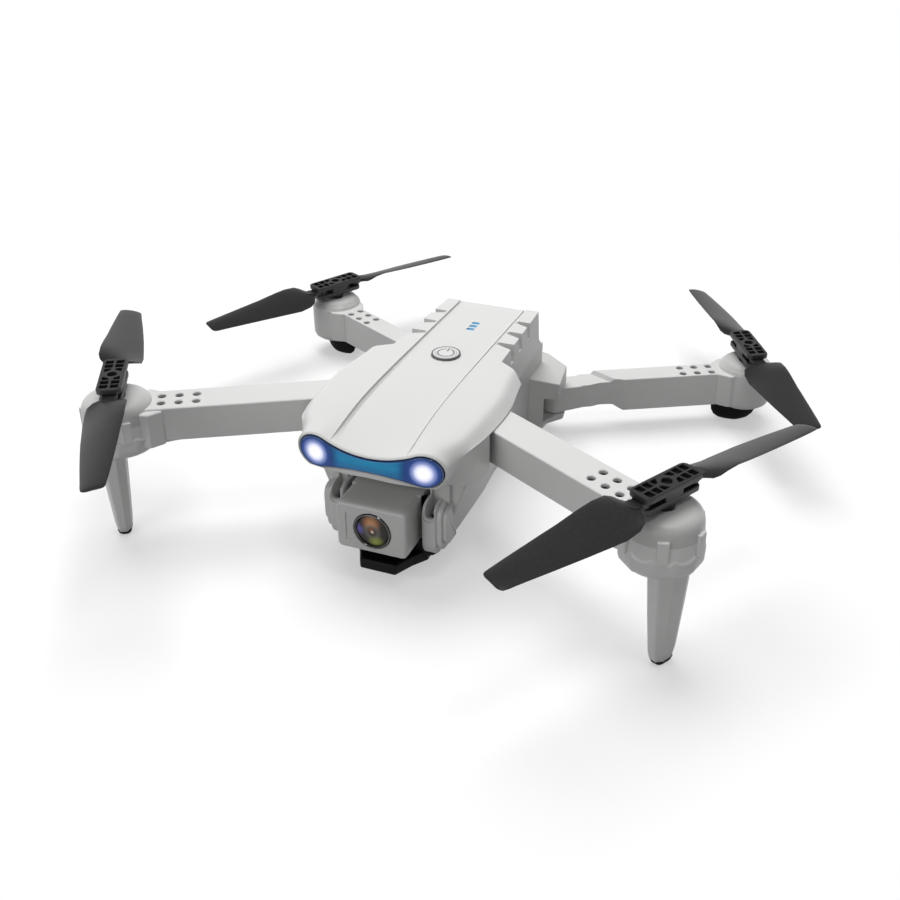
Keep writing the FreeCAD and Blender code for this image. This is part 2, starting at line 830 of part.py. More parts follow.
def rear_arm():
    reach = rear_reach()
    half = rear_arm_half
    outline = [
        (0, tongue_low), (waist_in, waist_low), (step_low_in, waist_low), (step_low_out, rear_arm_low),
        (reach - 5, rear_arm_low), (reach - 5, rear_arm_high), (step_out, rear_arm_high),
        (step_in, tongue_high), (waist_in, tongue_high - 0.3), (0, tongue_high - 0.9),
    ]
    corners = [Vector(x, -half, z) for x, z in outline]
    arm = Part.Face(Part.makePolygon(corners + corners[:1])).extrude(Vector(0, 2 * half, 0))
    eye = cylinder(half, 0, 0, tongue_low, tongue_high - 0.9)
    barrel = cylinder(rear_barrel_r, reach, 0, rear_barrel_low + 2, rear_barrel_high)
    skirt = Part.makeCone(rear_barrel_r - 2, rear_barrel_r, 2, Vector(reach, 0, rear_barrel_low))
    keel_end = reach - pad_out - pad_half_length
    keel = box(keel_end, reach, -pad_half_width, pad_half_width, rear_barrel_low, rear_arm_high - 2)
    arm = fuse_all([arm, eye, barrel, skirt, keel])
    inside = half - wall
    channel = box(step_low_out + 2, reach, -inside, inside, rear_arm_low + wall, rear_arm_high - wall)
    sleeve = cylinder(motor_r + wall, reach, 0, 0, 60)
    pocket = cylinder(motor_r, reach, 0, rear_motor_top() - motor_length, 60)
    arm = cut_all(arm, [channel.cut(sleeve), pocket] + vents(reach, rear_arm_high))
    return arm.cut(cylinder(rear_pin_r + running_gap, 0, 0, 0, 60))


def rear_foot():
    """Long dark pad under a rear motor."""
    reach = rear_reach()
    pad = obround(pad_half_length, pad_half_width, 0, rear_barrel_low)
    bottom = [e for e in pad.Edges if e.BoundBox.ZMax < 0.01]
    pad = pad.makeChamfer(1.6, bottom)
    pad.translate(Vector(reach - pad_out, 0, 0))
    return pad


# ---------------------------------------------------------------- propeller, in a frame with the shaft at the origin

def blade_section(station, droop):
    """Thin cambered section: an upper and a lower arc between the two edges."""
    out, trail, lead, pitch, thick = station
    angle = math.radians(pitch)
    root = blade_stations[0][0]
    drop = droop * (out - root) / (blade_stations[-1][0] - root)
    tail_point = Vector(out, -trail * math.cos(angle), -trail * math.sin(angle) - drop)
    lead_point = Vector(out, lead * math.cos(angle), lead * math.sin(angle) - drop)
    middle = (tail_point + lead_point) * 0.5
    normal = Vector(0, -math.sin(angle), math.cos(angle))
    upper = Part.Arc(tail_point, middle + normal * (0.85 * thick), lead_point).toShape()
    lower = Part.Arc(lead_point, middle - normal * (0.15 * thick), tail_point).toShape()
    return Part.Wire([upper, lower])


def blade(middle_z, direction, lead_side, droop):
    """A blade on its pin, pointing out along X or back along -X."""
    shape = Part.makeLoft([blade_section(s, droop) for s in blade_stations], True, True)
    half = blade_root_t / 2
    root = cylinder(root_r, 0, 0, -half, half)
    neck = box(0, blade_stations[0][0] + 0.6, -2.3, 2.3, -half, half)
    shape = fuse_all([shape, root, neck])
    shape = shape.cut(cylinder(blade_pin_r + running_gap, 0, 0, -5, 5))
    if lead_side < 0:
        shape = shape.mirror(Vector(0, 0, 0), Vector(0, 1, 0))
    shape.translate(Vector(pin_out, 0, middle_z))
    if direction < 0:
        shape.rotate(Vector(0, 0, 0), Vector(0, 0, 1), 180)
    return shape


def prop_levels(top):
    """Heights in a blade clamp: upper plate, blade roots and lower plate."""
    upper_low = top - plate_t
    root_middle = upper_low - blade_gap - blade_root_t / 2
    lower_high = root_middle - blade_root_t / 2 - blade_gap
    return upper_low, root_middle, lower_high


def prop_hub(top, low):
    """Lower half of the blade clamp, with the collar on the shaft."""
    upper_low, root_middle, lower_high = prop_levels(top)
    base = obround(clamp_half_length - 0.6, clamp_half_width - 0.3, lower_high - plate_t, lower_high)
    spacer = box(-3.6, 3.6, -clamp_half_width + 0.5, clamp_half_width - 0.5, lower_high - 0.5, upper_low)
    collar = cylinder(collar_r, 0, 0, low, lower_high - 0.5)
    hub = fuse_all([base, spacer, collar])
    hub = hub.cut(cylinder(shaft_r, 0, 0, 0, top))
    for x in (-pin_out, pin_out):
        hub = hub.cut(cylinder(blade_pin_r, x, 0, 0, 80))
    return hub


def clamp_plate(top):
    """Upper half of the blade clamp, with six windows and a shaft hole."""
    upper_low, root_middle, lower_high = prop_levels(top)
    plate_body = obround(clamp_half_length, clamp_half_width, upper_low, top)
    window = 1.1
    for x in (-6.6, 6.6):
        for y in (-1.9, 1.9):
            for dx in (-1.75, 1.75):
                plate_body = plate_body.cut(
                    box(x + dx - window, x + dx + window, y - window, y + window, top - 1.0, top + 1))
    return plate_body.cut(cylinder(1.5, 0, 0, top - 1.0, top + 1))


def prop_pins(top, motor_top):
    """Steel motor shaft and the two blade pins."""
    upper_low, root_middle, lower_high = prop_levels(top)
    shaft = cylinder(shaft_r, 0, 0, motor_top - shaft_in_motor + 0.2, upper_low)
    pins = [cylinder(blade_pin_r, x, 0, lower_high - plate_t, upper_low) for x in (-pin_out, pin_out)]
    return [shaft] + pins


# ---------------------------------------------------------------- build

def save_arm(end, pieces, angle, hinge, prop_pieces, prop_angle, rotor):
    """Write an arm and its propeller for the left side and, mirrored, for the right."""
    placed = {}
    for name, shapes in pieces.items():
        placed[name] = [turned(s, angle, hinge[0], hinge[1]) for s in shapes]
    for name, shapes in prop_pieces.items():
        placed[name] = [turned(s, prop_angle, rotor[0], rotor[1]) for s in shapes]
    for name, shapes in placed.items():
        for side, solids in (("left", shapes), ("right", [mirrored(s) for s in shapes])):
            node = end + "_" + side + "_" + name
            if len(solids) == 1:
                save(node, solids[0])
            else:
                save_group(node, solids)


def prop_pieces(top, low, motor_top, lead_side, droop):
    upper_low, root_middle, lower_high = prop_levels(top)
    return {
        "prop_hub": [prop_hub(top, low)],
        "clamp_plate": [clamp_plate(top)],
        "prop_pins": prop_pins(top, motor_top),
        "blade_aft": [blade(root_middle, 1, lead_side, droop)],
        "blade_fore": [blade(root_middle, -1, lead_side, droop)],
    }


def build_front_arms():
    reach = front_reach()
    top = front_motor_top()
    pieces = {
        "arm": [front_arm()],
        "pod_cap": [pod_cap(reach, front_barrel_high, front_cap_high, front_cap_base_r, front_cap_r, top)],
        "motor": [motor(reach, top, motor_length)],
        "foot": [front_foot()],
    }
    props = prop_pieces(front_prop_top, front_cap_high + fold_gap, top, -1, front_blade_droop)
    rotor = (front_rotor_x, -rotor_y)
    save_arm("front", pieces, front_angle(), front_hinge, props, blade_rest_angle, rotor)


def build_rear_arms():
    reach = rear_reach()
    top = rear_motor_top()
    pieces = {
        "arm": [rear_arm()],
        "pod_cap": [pod_cap(reach, rear_barrel_high, rear_cap_high, rear_barrel_r - 0.5, rear_cap_r, top)],
        "motor": [motor(reach, top, motor_length)],
        "foot": [rear_foot()],
    }
    props = prop_pieces(rear_prop_top, rear_cap_high + fold_gap, top, 1, rear_blade_droop)
    rotor = (rear_rotor_x, rotor_y)
    save_arm("rear", pieces, rear_angle(), rear_hinge, props, 180 - blade_rest_angle, rotor)


def build_body():
    save("upper_shell", upper_shell())
    save("lower_shell", lower_shell())
    save("belly_tray", belly_tray())
    save("light_bar", dumbbell(bar_front, bar_front + bar_depth, 0.0))
    save_group("headlight_leds", headlight_leds())
    save_group("status_lights", status_lights(0.0))
    save("power_button", power_button())
    save("button_bezel", button_bezel())
    save("control_board", control_board())
    save_group("board_parts", board_parts())
    save("flow_lens", cylinder(flow_lens_r, 0, flow_lens_y, belly_low + 0.6, battery_low - 0.4))
    save_group("front_hinge_pins", front_pins(0.0))
    save_group("rear_hinge_pins", rear_pins(0.0))
    save_group("camera_pivots", camera_pivots(0.0))
    save_group("body_screws", body_screws())
    save("camera_housing", camera_housing())
    save("camera_lens_ring", camera_lens_ring())
    save("camera_lens", camera_lens())
    save("battery_pack", battery_pack())
    save("battery_cap", battery_cap())


os.makedirs("parts", exist_ok=True)
build_body()
build_front_arms()
build_rear_arms()
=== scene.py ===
import math

import bmesh
import bpy
from mathutils import Matrix, Vector


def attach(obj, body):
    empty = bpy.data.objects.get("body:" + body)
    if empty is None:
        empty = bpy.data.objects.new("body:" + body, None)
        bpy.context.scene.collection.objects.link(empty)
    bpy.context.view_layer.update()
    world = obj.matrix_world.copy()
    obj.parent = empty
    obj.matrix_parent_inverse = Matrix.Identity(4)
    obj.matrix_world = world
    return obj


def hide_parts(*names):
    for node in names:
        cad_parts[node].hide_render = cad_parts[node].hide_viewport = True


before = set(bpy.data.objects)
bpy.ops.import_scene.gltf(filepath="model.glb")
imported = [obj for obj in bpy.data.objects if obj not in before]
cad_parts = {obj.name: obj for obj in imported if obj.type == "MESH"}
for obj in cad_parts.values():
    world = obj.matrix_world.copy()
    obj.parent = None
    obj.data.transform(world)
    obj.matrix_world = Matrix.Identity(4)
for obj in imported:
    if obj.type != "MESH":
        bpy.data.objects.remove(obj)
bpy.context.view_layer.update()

MM = 0.001
WELD_GAP = 0.002        # points nearer than this become one, in millimetres
ON_AXIS = 1e-6          # a smaller radius closes a turned piece

# ---- places that the CAD sets, in millimetres: +X is the drone's left, and the nose is towards -Y ----
FRONT_ROTOR = (87.5, -75.2)
REAR_ROTOR = (86.5, 75.2)
FRONT_HINGE = (24.0, -39.5)
REAR_HINGE = (22.0, 40.6)
FRONT_ARM_TOP = 48.55
REAR_ARM_TOP = 21.75
FRONT_PROP_TOP = 58.7
REAR_PROP_TOP = 32.0
FRONT_COLLAR_FOOT = 51.5
REAR_COLLAR_FOOT = 25.3
BLADE_REST = 61.2       # degrees between the left front propeller and the X axis at rest
BLADE_PIN_OUT = 9.6
SEAM = 36.5             # between the two shells
EAVES = 48.9            # underside of the upper shell over the front arms
HULL_FLOOR = 8.0
BUTTON_Y = -13.7
STATUS_YS = (9.0, 11.7, 14.4)
CAMERA_PIVOT = (-60.8, 22.0)
LENS_X = 0.4
LENS_Z = 21.2
FRONT_REACH = math.dist(FRONT_HINGE, FRONT_ROTOR)
FRONT_ANGLE = math.degrees(math.atan2(FRONT_ROTOR[1] - FRONT_HINGE[1], FRONT_ROTOR[0] - FRONT_HINGE[0]))
REAR_REACH = math.dist(REAR_HINGE, REAR_ROTOR)
REAR_ANGLE = math.degrees(math.atan2(REAR_ROTOR[1] - REAR_HINGE[1], REAR_ROTOR[0] - REAR_HINGE[0]))

# ---- the visual's own sizes, in millimetres ----
CREASE = 12.0           # half width of the sunk strip along the top
CREASE_SLOT = (12.25, 0.27, 1.0)    # the slot along each edge of it: middle, half width, depth
SIDE_TOP = 49.2         # where the upper shell's walls turn in
NOSE_BEND = -61.0       # in front of this the nose is curved in plan
NOSE_BOW = 2.6 / 26.0 ** 2          # how far the nose falls back towards its sides
NOSE_LIP = 1.15         # width of the nose's edge round the light bar
TAIL_HALF = 17.4
TAIL_FRONT_HALF = 19.3  # the tail widens a little forwards
GILL_FRONTS = (-3.5, 6.2, 15.9)     # front edge of each notch in the tail's shoulders
LOBE_X = 17.5           # middle of the light bar's left lobe, across and up
LOBE_Z = 45.1
LOBE_HALF = 5.9         # half width and half height of a lobe
LOBE_RISE = 5.1
BAR_WAIST = (42.1, 46.5)            # lower and upper edge of the bar in the middle
BAR_BACK = -73.4
BAR_FACE = -75.9
LEG_OUT = 3.9
# height, half size along the arm, half size across it
LEG_STATIONS = [
    (36.5, 4.5, 7.1), (34.0, 4.4, 6.9), (18.0, 3.5, 5.7), (5.0, 2.7, 4.5), (2.6, 2.4, 3.9), (1.5, 2.1, 3.2),
]

# ---- the surface patterns' own sizes ----
FLOW_MM = 45.0          # width of the faint flow shading in moulded plastic
FIBRE_MM = 1.1          # glass fibres are far finer, and are drawn this coarse so that they show
WAVE_TURNS = 20         # a wave texture runs through this many radians in one unit
PLASTIC_IOR = 1.53


# ================================================================ making meshes

def clamped(t):
    """The value, kept between 0 and 1."""
    return min(1.0, max(0.0, t))


def eased(t):
    """Runs from 0 to 1 without a kink at either end."""
    t = clamped(t)
    return t * t * (3 - 2 * t)


def new_piece(name, points, faces, sharp_degrees=38.0):
    """A closed piece from points in millimetres, faces turned outwards."""
    mesh = bpy.data.meshes.new(name)
    mesh.from_pydata([Vector(p) * MM for p in points], [], faces)
    shaping = bmesh.new()
    shaping.from_mesh(mesh)
    bmesh.ops.remove_doubles(shaping, verts=shaping.verts, dist=WELD_GAP * MM)
    bmesh.ops.recalc_face_normals(shaping, faces=shaping.faces)
    if shaping.calc_volume(signed=True) < 0:
        bmesh.ops.reverse_faces(shaping, faces=shaping.faces)
    shaping.to_mesh(mesh)
    shaping.free()
    piece = bpy.data.objects.new(name, mesh)
    bpy.context.scene.collection.objects.link(piece)
    smooth(piece, sharp_degrees)
    return piece


def smooth(piece, sharp_degrees=38.0):
    """Shades a piece smooth, with the edges over an angle kept crisp."""
    piece.data.shade_smooth()
    piece.data.set_sharp_from_angle(angle=math.radians(sharp_degrees))
    return piece


def skin(rings):
    """Points of the rings, and the bands of faces between one ring and the next."""
    count = len(rings[0])
    points = [p for ring in rings for p in ring]
    faces = []
    for k in range(len(rings) - 1):
        for i in range(count):
            j = (i + 1) % count
            faces.append((k * count + i, k * count + j, (k + 1) * count + j, (k + 1) * count + i))
    return points, faces


def loft(name, rings, sharp_degrees=38.0, closed_end=True):
    """Skin over rings of the same number of points, each ring a closed outline."""
    points, faces = skin(rings)
    count = len(rings[0])
    if closed_end:
        faces.append(tuple(range(count)))
        faces.append(tuple((len(rings) - 1) * count + i for i in range(count)))
    return new_piece(name, points, faces, sharp_degrees)


def turned(name, profile, centre=(0, 0, 0), steps=72, sharp_degrees=30.0, wobble=None):
    """A piece turned round the vertical from (radius, height) points. A radius of 0 closes it."""
    cx, cy, cz = centre
    points = []
    starts = []
    for r, z in profile:
        starts.append(len(points))
        if r < ON_AXIS:
            points.append((cx, cy, cz + z))
            continue
        for s in range(steps):
            a = 2 * math.pi * s / steps
            rr, zz = (r, z) if wobble is None else wobble(a, r, z)
            points.append((cx + rr * math.cos(a), cy + rr * math.sin(a), cz + zz))
    bands = [(k, k + 1) for k in range(len(profile) - 1)]
    if profile[0][0] >= ON_AXIS:
        bands.append((len(profile) - 1, 0))
    faces = []
    for a, b in bands:
        pole_a = profile[a][0] < ON_AXIS
        pole_b = profile[b][0] < ON_AXIS
        if pole_a and pole_b:
            continue
        for s in range(steps):
            t = (s + 1) % steps
            if pole_a:
                faces.append((starts[a], starts[b] + s, starts[b] + t))
            elif pole_b:
                faces.append((starts[a] + s, starts[b], starts[a] + t))
            else:
                faces.append((starts[a] + s, starts[b] + s, starts[b] + t, starts[a] + t))
    return new_piece(name, points, faces, sharp_degrees)


def rounded(outline, radius, steps=4):
    """An outline with its corners rounded. A corner may give its own radius as a third number."""
    result = []
    count = len(outline)
    for i, corner in enumerate(outline):
        r = corner[2] if len(corner) > 2 else radius
        here = Vector(corner[:2])
        before = (Vector(outline[i - 1][:2]) - here)
        after = (Vector(outline[(i + 1) % count][:2]) - here)
        if r <= 0:
            result.append(tuple(here))
            continue
        angle = before.angle(after)
        back = min(r / math.tan(angle / 2), 0.49 * before.length, 0.49 * after.length)
        start = here + before.normalized() * back
        stop = here + after.normalized() * back
        for k in range(steps + 1):
            t = k / steps
            point = start * (1 - t) ** 2 + here * 2 * t * (1 - t) + stop * t ** 2
            result.append(tuple(point))
    return result


def inset(outline, distance):
    """The outline moved inwards by a distance; it must run anticlockwise."""
    result = []
    count = len(outline)
    for i in range(count):
        a, b, c = Vector(outline[i - 1]), Vector(outline[i]), Vector(outline[(i + 1) % count])
        first = (b - a).normalized()
        second = (c - b).normalized()
        n1 = Vector((-first.y, first.x))
        n2 = Vector((-second.y, second.x))
        middle = (n1 + n2).normalized()
        stretch = max(0.5, middle.dot(n1))
        result.append(b + middle * (distance / stretch))
    turned_over = []
    for i in range(count):
        j = (i + 1) % count
        turned_over.append((result[j] - result[i]).dot(Vector(outline[j]) - Vector(outline[i])) < 0)
    if all(turned_over) or not any(turned_over):
        return [tuple(p) for p in result]
    first = turned_over.index(False) + 1
    i = first
    while i < first + count:
        if not turned_over[i % count]:
            i += 1
            continue
        # a corner smaller than the distance closes up where its two sides meet
        last = i
        while turned_over[last % count]:
            last += 1
        a, b = result[i % count], result[last % count]
        side = Vector(outline[i % count]) - Vector(outline[i % count - 1])
        other = Vector(outline[(last + 1) % count]) - Vector(outline[last % count])
        crossing = side.x * other.y - side.y * other.x
        meet = 0.5 * (a + b)
        if abs(crossing) > 1e-6:
            meet = a + side * (((b - a).x * other.y - (b - a).y * other.x) / crossing)
        for k in range(i, last + 1):
            result[k % count] = meet.copy()
        i = last
    return [tuple(p) for p in result]


def anticlockwise(outline):
    """The outline in anticlockwise order."""
    area = sum(a[0] * b[1] - b[0] * a[1] for a, b in zip(outline, outline[1:] + outline[:1]))
    return outline if area > 0 else outline[::-1]


def slab(name, outline, low, high, edge=0.4, lay=None, steps=3, sharp_degrees=38.0):
    """A slab between two levels with rounded rims. lay turns (u, v, level) into a point; plan by default."""
    lay = lay or (lambda u, v, w: (u, v, w))
    outline = anticlockwise(outline)
    sections = [(outline, 0.0)]
    if edge > 0:
        turns = [0.5 * math.pi * k / steps for k in range(steps + 1)]
        sections = [(inset(outline, edge * (1 - math.sin(a))), edge * (1 - math.cos(a))) for a in turns]
    rings = [[lay(u, v, low + rise) for u, v in plan] for plan, rise in sections]
    rings += [[lay(u, v, high - rise) for u, v in plan] for plan, rise in reversed(sections)]
    return loft(name, rings, sharp_degrees)


def across(u, v, w):
    """A side outline of (y, z) run across along X."""
    return (w, u, v)


def fore_aft(u, v, w):
    """A front outline of (x, z) run along Y."""
    return (u, w, v)


def block(name, x0, x1, y0, y1, z0, z1, edge=0.0, corner=0.0):
    """A box with rounded rims and upright corners."""
    outline = [(x0, y0), (x1, y0), (x1, y1), (x0, y1)]
    if corner > 0:
        outline = rounded(outline, corner)
    return slab(name, outline, z0, z1, edge)


def drill(radius, x, y, z0, z1, mouth=0.0, steps=28):
    """A tool for a round hole up to z1, with a flared mouth."""
    wide = radius + mouth
    above = z1 + 2
    profile = [(0, z0), (radius, z0), (radius, z1 - mouth), (wide, z1), (wide, above), (0, above)]
    return turned("drill", profile, (x, y, 0), steps)


def work(piece, tools, operation="DIFFERENCE", sharp_degrees=38.0):
    """Cuts the tools from the piece, or joins them to it, and uses them up."""
    for tool in tools:
        step = piece.modifiers.new("work", "BOOLEAN")
        step.object = tool
        step.operation = operation
        step.solver = "MANIFOLD"
    depsgraph = bpy.context.evaluated_depsgraph_get()
    mesh = bpy.data.meshes.new_from_object(piece.evaluated_get(depsgraph))
    piece.modifiers.clear()
    piece.data = mesh
    for tool in tools:
        bpy.data.objects.remove(tool)
    return smooth(piece, sharp_degrees)


def join(piece, others, sharp_degrees=38.0):
    """Makes one piece of several and uses the others up."""
    return work(piece, others, "UNION", sharp_degrees)


def shift(piece, matrix):
    """Moves a piece's mesh, and keeps its faces outwards when the move mirrors it."""
    piece.data.transform(matrix)
    if matrix.determinant() < 0:
        piece.data.flip_normals()
    return piece


def place(piece, degrees, x, y):
    """Turns a piece made round its own origin and sets it down at x, y millimetres."""
    turn = Matrix.Rotation(math.radians(degrees), 4, "Z")
    return shift(piece, Matrix.Translation(Vector((x, y, 0)) * MM) @ turn)


def twin(piece, name):
    """The mirror image on the drone's right."""
    other = bpy.data.objects.new(name, piece.data.copy())
    bpy.context.scene.collection.objects.link(other)
    return shift(other, Matrix.Scale(-1, 4, (1, 0, 0)))


def crisp(piece):
    """Flat faces stay flat between rounded edges."""
    step = piece.modifiers.new("flats", "WEIGHTED_NORMAL")
    step.keep_sharp = True
    return piece


def finish(piece, body, finish_slot, material, *nodes):
    """Gives a piece its material, its CAD body and the nodes it stands for; its record slot, finish_slot, is
    not used.
    """
    piece.data.materials.clear()
    piece.data.materials.append(material)
    crisp(piece)
    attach(piece, body)
    if nodes:
        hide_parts(*nodes)
    return piece


# ================================================================ materials

def colour(code):
    """A linear colour from an sRGB hex code."""
    parts = [int(code[i:i + 2], 16) / 255 for i in (1, 3, 5)]
    linear = [c / 12.92 if c <= 0.04045 else ((c + 0.055) / 1.055) ** 2.4 for c in parts]
    return (*linear, 1.0)


def add(tree, kind, inputs=None, **settings):
    """Adds a node. Its settings are its own attributes. Its inputs go by name or number, and each
    is a socket to link from or a plain value."""
    made = tree.nodes.new(kind)
    for key, value in settings.items():
        setattr(made, key, value)
    for key, value in (inputs or {}).items():
        if isinstance(value, bpy.types.NodeSocket):
            tree.links.new(value, made.inputs[key])
        else:
            made.inputs[key].default_value = value
    return made


def blank(name):
    """An empty material, its node tree and the place on the piece in metres."""
    material = bpy.data.materials.new(name)
    material.use_nodes = True
    tree = material.node_tree
    tree.nodes.clear()
    return material, tree, add(tree, "ShaderNodeTexCoord").outputs["Object"]


def moulded(name, code, shade_code, roughness, grain_mm=0.35, bump=0.05, coat=0.0, shine=0.5):
    """Injection-moulded plastic: an even colour with faint flow shading, a spark-eroded grain
    in the surface and a roughness that wanders a little where the tool was polished."""
    material, tree, at = blank(name)
    flow = add(tree, "ShaderNodeTexNoise", {"Vector": at, "Scale": 1 / (FLOW_MM * MM), "Detail": 3.0})
    tint = add(tree, "ShaderNodeMix", {
        "Factor": flow.outputs["Fac"], "A": colour(code), "B": colour(shade_code)}, data_type="RGBA")
    polish = add(tree, "ShaderNodeMapRange", {
        "Value": flow.outputs["Fac"], "To Min": roughness - 0.05, "To Max": roughness + 0.05})
    grain = add(tree, "ShaderNodeTexNoise", {
        "Vector": at, "Scale": 1 / (grain_mm * MM), "Detail": 2.0, "Roughness": 0.6})
    relief = add(tree, "ShaderNodeBump", {
        "Height": grain.outputs["Fac"], "Strength": bump, "Distance": 0.05 * MM})
    shader = add(tree, "ShaderNodeBsdfPrincipled", {
        "Base Color": tint.outputs["Result"], "Roughness": polish.outputs["Result"],
        "Normal": relief.outputs["Normal"], "IOR": PLASTIC_IOR, "Specular IOR Level": shine,
        "Coat Weight": coat, "Coat Roughness": 0.08})
    add(tree, "ShaderNodeOutputMaterial", {"Surface": shader.outputs["BSDF"]})
    return material


def satin_steel(name, code, roughness, line_mm=0.2):
    """Turned steel: fine rings round the part spread its highlights along them."""
    material, tree, at = blank(name)
    lines = add(tree, "ShaderNodeTexWave", {
        "Vector": at, "Scale": 1 / (WAVE_TURNS * line_mm * MM), "Distortion": 1.5, "Detail": 3.0},
        bands_direction="Z")
    rough = add(tree, "ShaderNodeMapRange", {
        "Value": lines.outputs["Fac"], "To Min": roughness - 0.06, "To Max": roughness + 0.08})
    shader = add(tree, "ShaderNodeBsdfPrincipled", {
        "Base Color": colour(code), "Roughness": rough.outputs["Result"], "Metallic": 1.0})
    add(tree, "ShaderNodeOutputMaterial", {"Surface": shader.outputs["BSDF"]})
    return material


def nylon_blade(name):
    """Glass-filled nylon, pressed thin: dark grey with paler fibres drawn out fore and aft, which is
    roughly along the blades, and a soft sheen."""
    material, tree, at = blank(name)
    drawn = add(tree, "ShaderNodeMapping", {"Vector": at, "Scale": (2.2, 1.0, 2.2)})
    fibres = add(tree, "ShaderNodeTexNoise", {
        "Vector": drawn.outputs["Vector"], "Scale": 1 / (FIBRE_MM * MM), "Detail": 4.0})
    pale = add(tree, "ShaderNodeMapRange", {
        "Value": fibres.outputs["Fac"], "From Min": 0.45, "From Max": 0.75})
    tint = add(tree, "ShaderNodeMix", {
        "Factor": pale.outputs["Result"], "A": colour("#1F1F20"), "B": colour("#2A2A2B")}, data_type="RGBA")
    relief = add(tree, "ShaderNodeBump", {
        "Height": fibres.outputs["Fac"], "Strength": 0.05, "Distance": 0.04 * MM})
    shader = add(tree, "ShaderNodeBsdfPrincipled", {
        "Base Color": tint.outputs["Result"], "Normal": relief.outputs["Normal"], "Roughness": 0.42,
        "IOR": PLASTIC_IOR})
    add(tree, "ShaderNodeOutputMaterial", {"Surface": shader.outputs["BSDF"]})
    return material


def lit_bar():
    """Clear acrylic over a blue foil that is palest across its middle and navy round the lamps,
    with each lamp's glow fading from white through violet into the blue."""
    material, tree, at = blank("blue_acrylic_light_bar")
    place_on = add(tree, "ShaderNodeSeparateXYZ", {"Vector": at})
    side = add(tree, "ShaderNodeMath", {0: place_on.outputs["X"]}, operation="ABSOLUTE")
    across_lamp = add(tree, "ShaderNodeMath", {0: side.outputs[0], 1: LOBE_X * MM}, operation="SUBTRACT")
    up_lamp = add(tree, "ShaderNodeMath", {0: place_on.outputs["Z"], 1: LOBE_Z * MM}, operation="SUBTRACT")
    off_lamp = add(tree, "ShaderNodeCombineXYZ", {"X": across_lamp.outputs[0], "Y": up_lamp.outputs[0]})
    away = add(tree, "ShaderNodeVectorMath", {0: off_lamp.outputs[0]}, operation="LENGTH")
    reach = add(tree, "ShaderNodeMapRange", {
        "Value": away.outputs["Value"], "From Min": 0.0, "From Max": 1.5 * LOBE_HALF * MM})
    height = add(tree, "ShaderNodeMapRange", {
        "Value": place_on.outputs["Z"], "From Min": 41.0 * MM, "From Max": 48.5 * MM})
    foil = add(tree, "ShaderNodeValToRGB", {"Fac": height.outputs["Result"]})
    foil.color_ramp.elements[0].color = colour("#123C8E")
    foil.color_ramp.elements[1].color = colour("#1B6FA6")
    foil.color_ramp.elements.new(0.55).color = colour("#2596C4")
    shade = add(tree, "ShaderNodeMapRange", {
        "Value": reach.outputs["Result"], "From Min": 0.55, "From Max": 1.0, "To Min": 1.0, "To Max": 0.0},
        interpolation_type="SMOOTHSTEP")
    deep = add(tree, "ShaderNodeMix", {
        "Factor": shade.outputs["Result"], "A": foil.outputs["Color"], "B": colour("#0E2258")},
        data_type="RGBA")
    glow = add(tree, "ShaderNodeValToRGB", {"Fac": reach.outputs["Result"]})
    stops = glow.color_ramp.elements
    stops[0].position = 0.16
    stops[0].color = colour("#FFFFFF")
    stops[1].position = 1.0
    stops[1].color = colour("#0F3A55")
    for position, code in ((0.27, "#E2E4F4"), (0.37, "#8A96C4"), (0.50, "#1C3C76"), (0.70, "#0C2450")):
        stops.new(position).color = colour(code)
    shader = add(tree, "ShaderNodeBsdfPrincipled", {
        "Base Color": deep.outputs["Result"], "Emission Color": glow.outputs["Color"],
        "Emission Strength": 1.0, "Roughness": 0.30, "Specular IOR Level": 0.25})
    add(tree, "ShaderNodeOutputMaterial", {"Surface": shader.outputs["BSDF"]})
    return material


